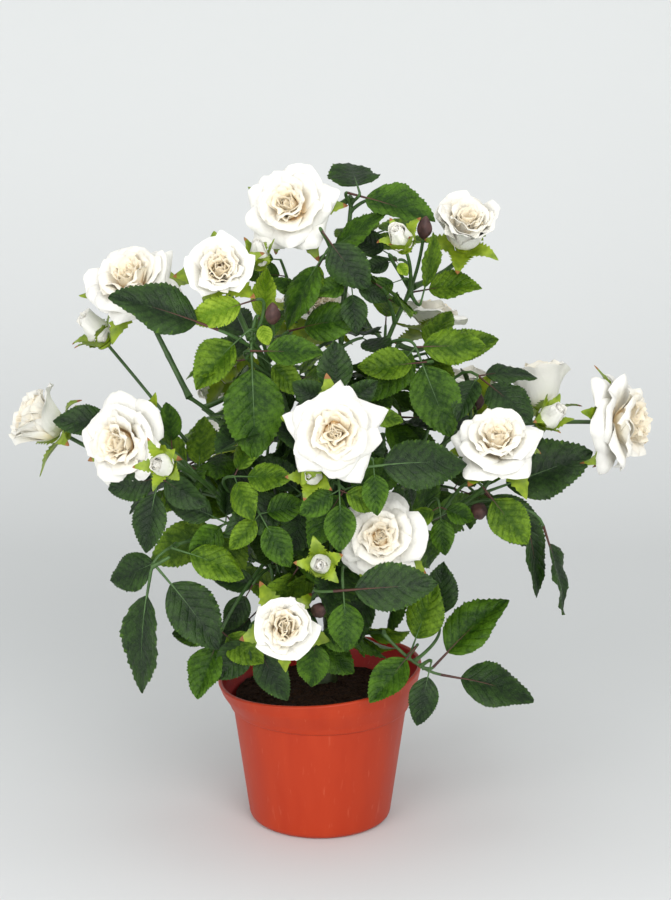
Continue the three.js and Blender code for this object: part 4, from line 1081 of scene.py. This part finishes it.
stem_parts, bough_parts = [], []
for curve, height, split in branches.values():
    # from the bough's end on, a stem with a moulded ring at every fifth of its length
    share = np.linspace(0, 1, 33)
    rings = 0.22 * np.maximum(0, np.cos(2 * math.pi * 5 * share)) ** 12
    radius = mix(1.1 * BOUGH["tip_radius"], 1.15 * STEM_TIP_RADIUS, share) + rings
    stem_parts.append(tubes(on_bend(stretch_of(curve, split, 1), share)[None], radius[None], 10))
    # the bough starts in the trunk, a little below the branch's root
    trunk_axis, _ = trunk_at(height - 2)
    bough = stretch_of(curve, 0, max(split, 0.05))
    path = np.concatenate([trunk_axis[None], on_bend(bough, np.linspace(0.05, 1, 24))])
    along = np.linspace(0, 1, len(path))[None, :, None]
    relief = 1 + 0.06 * np.sin(3 * round_steps(12) + 9 * along) + 0.05 * np.sin(31 * along)
    radius = mix(BOUGH["root_radius"] * 1.15, BOUGH["tip_radius"], along[:, :, 0])
    bough_parts.append(tubes(path[None], radius, 12, 0, relief))
piece("stems", stem_parts + rose_stalks + bud_stalks, [STEM_PLASTIC])


def trunk_part():
    """The trunk in level rings: its radius falls evenly from foot to tip, spreads in a flare at the foot,
    and has shallow upright ridges and knots where the branches leave."""
    t = np.linspace(-0.03, 1, 64)[None, :, None]
    turn = round_steps(28)
    axis = on_bend(TRUNK_CURVE, t[..., 0])[:, :, None, :]
    height = axis[..., 2]
    spread = TRUNK["flare"] * np.clip(1 - (height - SOIL["crown"]) / TRUNK["flare_height"], 0, 1.3)
    knots = sum(np.exp(-(((height - branch[1] + 3) / 2.2) ** 2)) for branch in BRANCHES)
    radius = mix(TRUNK["foot_radius"], TRUNK["tip_radius"], t) + spread + 0.5 * np.minimum(knots, 1.2)
    relief = 1 + 0.05 * np.sin(5 * turn + 4 * t) + 0.03 * np.sin(9 * turn - 11 * t) + 0.02 * np.sin(60 * t)
    return skins(axis * vec(1, 1, 0) + round_z(radius * relief, turn, height))


boughs = ["bough_" + name for name, (_, _, split) in branches.items() if split]
piece("trunk_and_boughs", [trunk_part(), *bough_parts], [TRUNK_PLASTIC], ["trunk", *boughs])


# ---- pot and filling
def arc_points(centre, radius, start, end, count):
    """Points on an arc, as radius and height, between two angles in degrees."""
    angle = np.radians(np.linspace(start, end, count))
    return np.stack([centre[0] + radius * np.cos(angle), centre[1] + radius * np.sin(angle)], axis=1)


def straight(start, end, count):
    """Points evenly along a line, without its ends."""
    return mix(np.array(start, float), np.array(end, float), np.linspace(0, 1, count + 2)[1:-1, None])


def pot_outline():
    """The pot's wall in section, from the middle of its underside round the lip to the middle of its floor:
    a rounded edge at the base, a straight leaning wall, a small rounded step out to a collar that swells,
    and a rounded lip."""
    base, rounding, wall = POT["base_radius"], POT["base_round"], POT["wall"]
    foot, foot_radius = POT["collar_foot"], POT["collar_foot_radius"]
    lip, lip_radius = POT["lip_height"], POT["lip_radius"]
    step, step_radius = 1.5, foot_radius + POT["collar_step"]
    swell = (mix(step_radius, lip_radius, 0.72), mix(foot, lip, 0.55))
    swell_inside = (swell[0] - wall, swell[1])
    foot_inside = (foot_radius - wall, foot - 1)
    lip_middle = (lip_radius - wall / 2, lip - wall / 2)
    under_middle, floor_middle = (0.4, 0), (0.4, POT["floor"])
    floor_edge = (base - 6, POT["floor"])
    return np.concatenate(
        [
            [under_middle],
            straight(under_middle, (base - rounding - 0.2, 0), 6),
            arc_points((base - rounding, rounding), rounding, -90, -8, 8),
            straight((base, rounding - 0.2), (foot_radius, foot - step), 26),
            arc_points((foot_radius + 0.1, foot), step, -95, -10, 6),
            straight((step_radius, foot + 0.5), swell, 7),
            straight(swell, (lip_radius - 0.2, lip - 2.6), 7),
            arc_points((lip_middle[0] - 0.1, lip_middle[1] - 0.6), wall / 2 + 0.25, -30, 180, 14),
            straight((lip_middle[0] - 1, lip_middle[1] - 1.5), swell_inside, 6),
            straight(swell_inside, foot_inside, 6),
            straight(foot_inside, (base - wall, 5), 12),
            [floor_edge],
            straight(floor_edge, floor_middle, 4),
            [floor_middle],
        ]
    )


def pot_part():
    """The outline turned round +Z. Above the collar's foot the soft wall is pulled out of level, and the lip
    is a little out of round."""
    outline = pot_outline()
    turn = round_steps(144)
    radius, height = outline[:, :1], outline[:, 1:]
    share = np.maximum(0, (height - POT["collar_foot"]) / (POT["lip_height"] - POT["collar_foot"]))
    radius = radius + 0.35 * share * np.sin(2 * turn + 0.7) + 0.08 * share * np.sin(7 * turn)
    points = round_z(radius, turn, height)
    points[..., 2] += share * (POT["lip_tilt"] * points[..., 0] + 0.3 * np.sin(3 * turn + 1.1))
    # the inside of the wall takes the second plastic, the same plastic painted darker and redder as painted
    # shade
    inside = np.arange(len(outline) - 1) > np.argmax(outline[:, 1]) + 3
    return skins(points[None], np.where(inside, 1, 0))


POT_PLASTICS = [
    pot_plastic("polypropylene_moulded_brick_red", "#AC3110", "#B43815"),
    # the pot's inside: painted shade, darker and redder than the outside
    pot_plastic("polypropylene_moulded_brick_red_inside_painted_shade", "#9A0E04", "#A81608"),
]
piece("pot_moulded", [pot_part()], POT_PLASTICS, ["pot"], 60)


def soil_height(x, y):
    """The mound's height: a low dome, with crumbs as the sum of crossed waves of falling length."""
    reach = np.hypot(x, y) / (POT["collar_foot_radius"] - POT["wall"])
    dome = mix(SOIL["crown"] - GAP, SOIL["edge"] - 0.6, smooth(reach))
    lumps = sum(
        0.55 / k
        * np.sin(0.42 * k * x + 1.7 * k + 1.3 * np.sin(0.31 * k * y))
        * np.cos(0.38 * k * y + 2.3 * k)
        for k in (1, 2.3, 4.1, 6.7)
    )
    return dome + lumps


def soil_parts():
    """The filling: a plug that follows the wall with the mound on top, and loose crumbs lying on it."""
    edge = POT["collar_foot_radius"] - POT["wall"] - SOIL["gap"]
    turn = round_steps(120)
    top = round_z(np.linspace(edge + 0.5, 0.6, 56)[:, None], turn, 0)
    top[..., 2] = soil_height(top[..., 0], top[..., 1])
    low_radius = np.array([0.6, POT["base_radius"] - 7, POT["base_radius"] - 3, edge - 0.6])[:, None]
    low_height = np.array([3, 3, 8, POT["collar_foot"] - 2])[:, None]
    body = skins(np.concatenate([round_z(low_radius, turn, low_height), top])[None])
    key = np.arange(SOIL["crumbs"]) * 0.731
    middle = round_z(edge * 0.98 * np.sqrt(chance(key, 1)), 2 * math.pi * chance(key, 2), 0)[:, None, None]
    middle[..., 2] = soil_height(middle[..., 0], middle[..., 1])
    size = mix(0.5, 1.5, chance(key, 3) ** 2)[:, None, None]
    h = np.linspace(0.12, 0.88, 4)[None, :, None]
    around = round_steps(6)
    ring = size * np.sin(math.pi * h) * (1 + 0.35 * (chance(key[:, None, None], around, h) - 0.5))
    lie = chance(key, 4)[:, None, None] * math.pi
    height = size * (0.2 + 0.9 * (h - 0.5))
    crumbs = middle + round_z(1.4 * ring * np.cos(around), lie, height, ring * np.sin(around))
    return [body, skins(crumbs)]


piece("planting_crumb", soil_parts(), [bark_crumb()], ["soil"], 50)


# ---- floor, lights and camera
SWEEP = {"half_width": 3000, "near": -1500, "turn": 430, "turn_radius": 420, "last_angle": -11}
# Square softboxes: place and target in metres, breadth in metres, power in watts.
LIGHTS = {
    "key": ((0.7, -2.2, 1.35), (0, 0, 0.18), 1.6, 37),
    "fill": ((-1.3, -1.9, 0.9), (0, 0, 0.18), 1.6, 24),
    "top": ((0.1, -0.1, 1.9), (0, 0.05, 0.1), 1.4, 7),
}
WORLD = {"colour": "#F4F6F8", "strength": 0.58}
# Metres, but the lens and the sensor's width in millimetres. The camera looks down by the pitch, in degrees.
CAMERA = {"aim": (0.008, 0, 0.1956), "distance": 1.4, "pitch": 16, "lens": 112, "sensor": 36}


def sweep():
    """A pale paper sweep: a level floor that turns up behind, and ends where it stands nearly upright. Its
    colour is painted greyer along the turn, as painted shade, and paler on the floor in front and a little
    paler high up behind, as painted light."""
    radius = SWEEP["turn_radius"]
    curve = arc_points((SWEEP["turn"], radius), radius, -90, SWEEP["last_angle"], 24)
    profile = np.concatenate([[[SWEEP["near"], 0]], curve])
    x = np.array([-1, 1]) * SWEEP["half_width"]
    grid = np.stack(np.broadcast_arrays(x, profile[:, :1], profile[:, 1:]), axis=-1) * METRES
    mesh = bpy.data.meshes.new("paper_sweep")
    mesh.from_pydata(grid.reshape(-1, 3).tolist(), [], grid_quads(len(profile), 2)[:, ::-1].tolist())
    mesh.polygons.foreach_set("use_smooth", np.ones(len(mesh.polygons), bool))
    material, tree, place = new_material("studio_paper_matt")
    place = add(tree, "SeparateXYZ", {0: place})
    along = add(tree, "Math", {0: place.outputs["Y"], 1: place.outputs["Z"]}, operation="ADD")
    # painted shade and light: the paper is greyer along the turn, paler before it and a little paler above
    # it
    ends = {"Value": along, "From Min": 0.5, "From Max": 0.9, "To Max": 0.1}
    behind = add(tree, "MapRange", ends, interpolation_type="SMOOTHSTEP")
    ends = {"Value": along, "From Min": 0.3, "From Max": -0.5}
    before = add(tree, "MapRange", ends, interpolation_type="SMOOTHSTEP")
    share = add(tree, "Math", {0: behind, 1: before}, operation="MAXIMUM")
    tint = add(tree, "Mix", {0: share, 6: colour("#D4D6D5"), 7: colour("#E8E9E9")}, data_type="RGBA")
    mesh.materials.append(
        finished(material, {"Base Color": tint, "Roughness": 0.9, "Specular IOR Level": 0.1})
    )
    made = bpy.data.objects.new("paper_sweep", mesh)
    bpy.context.scene.collection.objects.link(made)


def soft_light(name, place, target, breadth, power):
    """A square white softbox at a place that faces a target."""
    lamp = bpy.data.lights.new(name, "AREA")
    lamp.shape = "SQUARE"
    lamp.size = breadth
    lamp.energy = power
    made = bpy.data.objects.new(name, lamp)
    made.location = place
    made.rotation_mode = "QUATERNION"
    made.rotation_quaternion = (Vector(target) - Vector(place)).to_track_quat("-Z", "Y")
    bpy.context.scene.collection.objects.link(made)


sweep()
for name, settings in LIGHTS.items():
    soft_light(name, *settings)

world = bpy.data.worlds.new("studio")
world.use_nodes = True
background = world.node_tree.nodes["Background"].inputs
background["Color"].default_value = colour(WORLD["colour"])
background["Strength"].default_value = WORLD["strength"]
bpy.context.scene.world = world
bpy.context.scene.view_settings.view_transform = "Standard"

pitch = math.radians(CAMERA["pitch"])
camera = bpy.data.cameras.new("camera")
camera.lens = CAMERA["lens"]
camera.sensor_width = CAMERA["sensor"]
camera_object = bpy.data.objects.new("camera", camera)
back = Vector((0, -math.cos(pitch), math.sin(pitch)))
camera_object.location = Vector(CAMERA["aim"]) + CAMERA["distance"] * back
camera_object.rotation_euler = (math.pi / 2 - pitch, 0, 0)
bpy.context.scene.collection.objects.link(camera_object)
bpy.context.scene.camera = camera_object
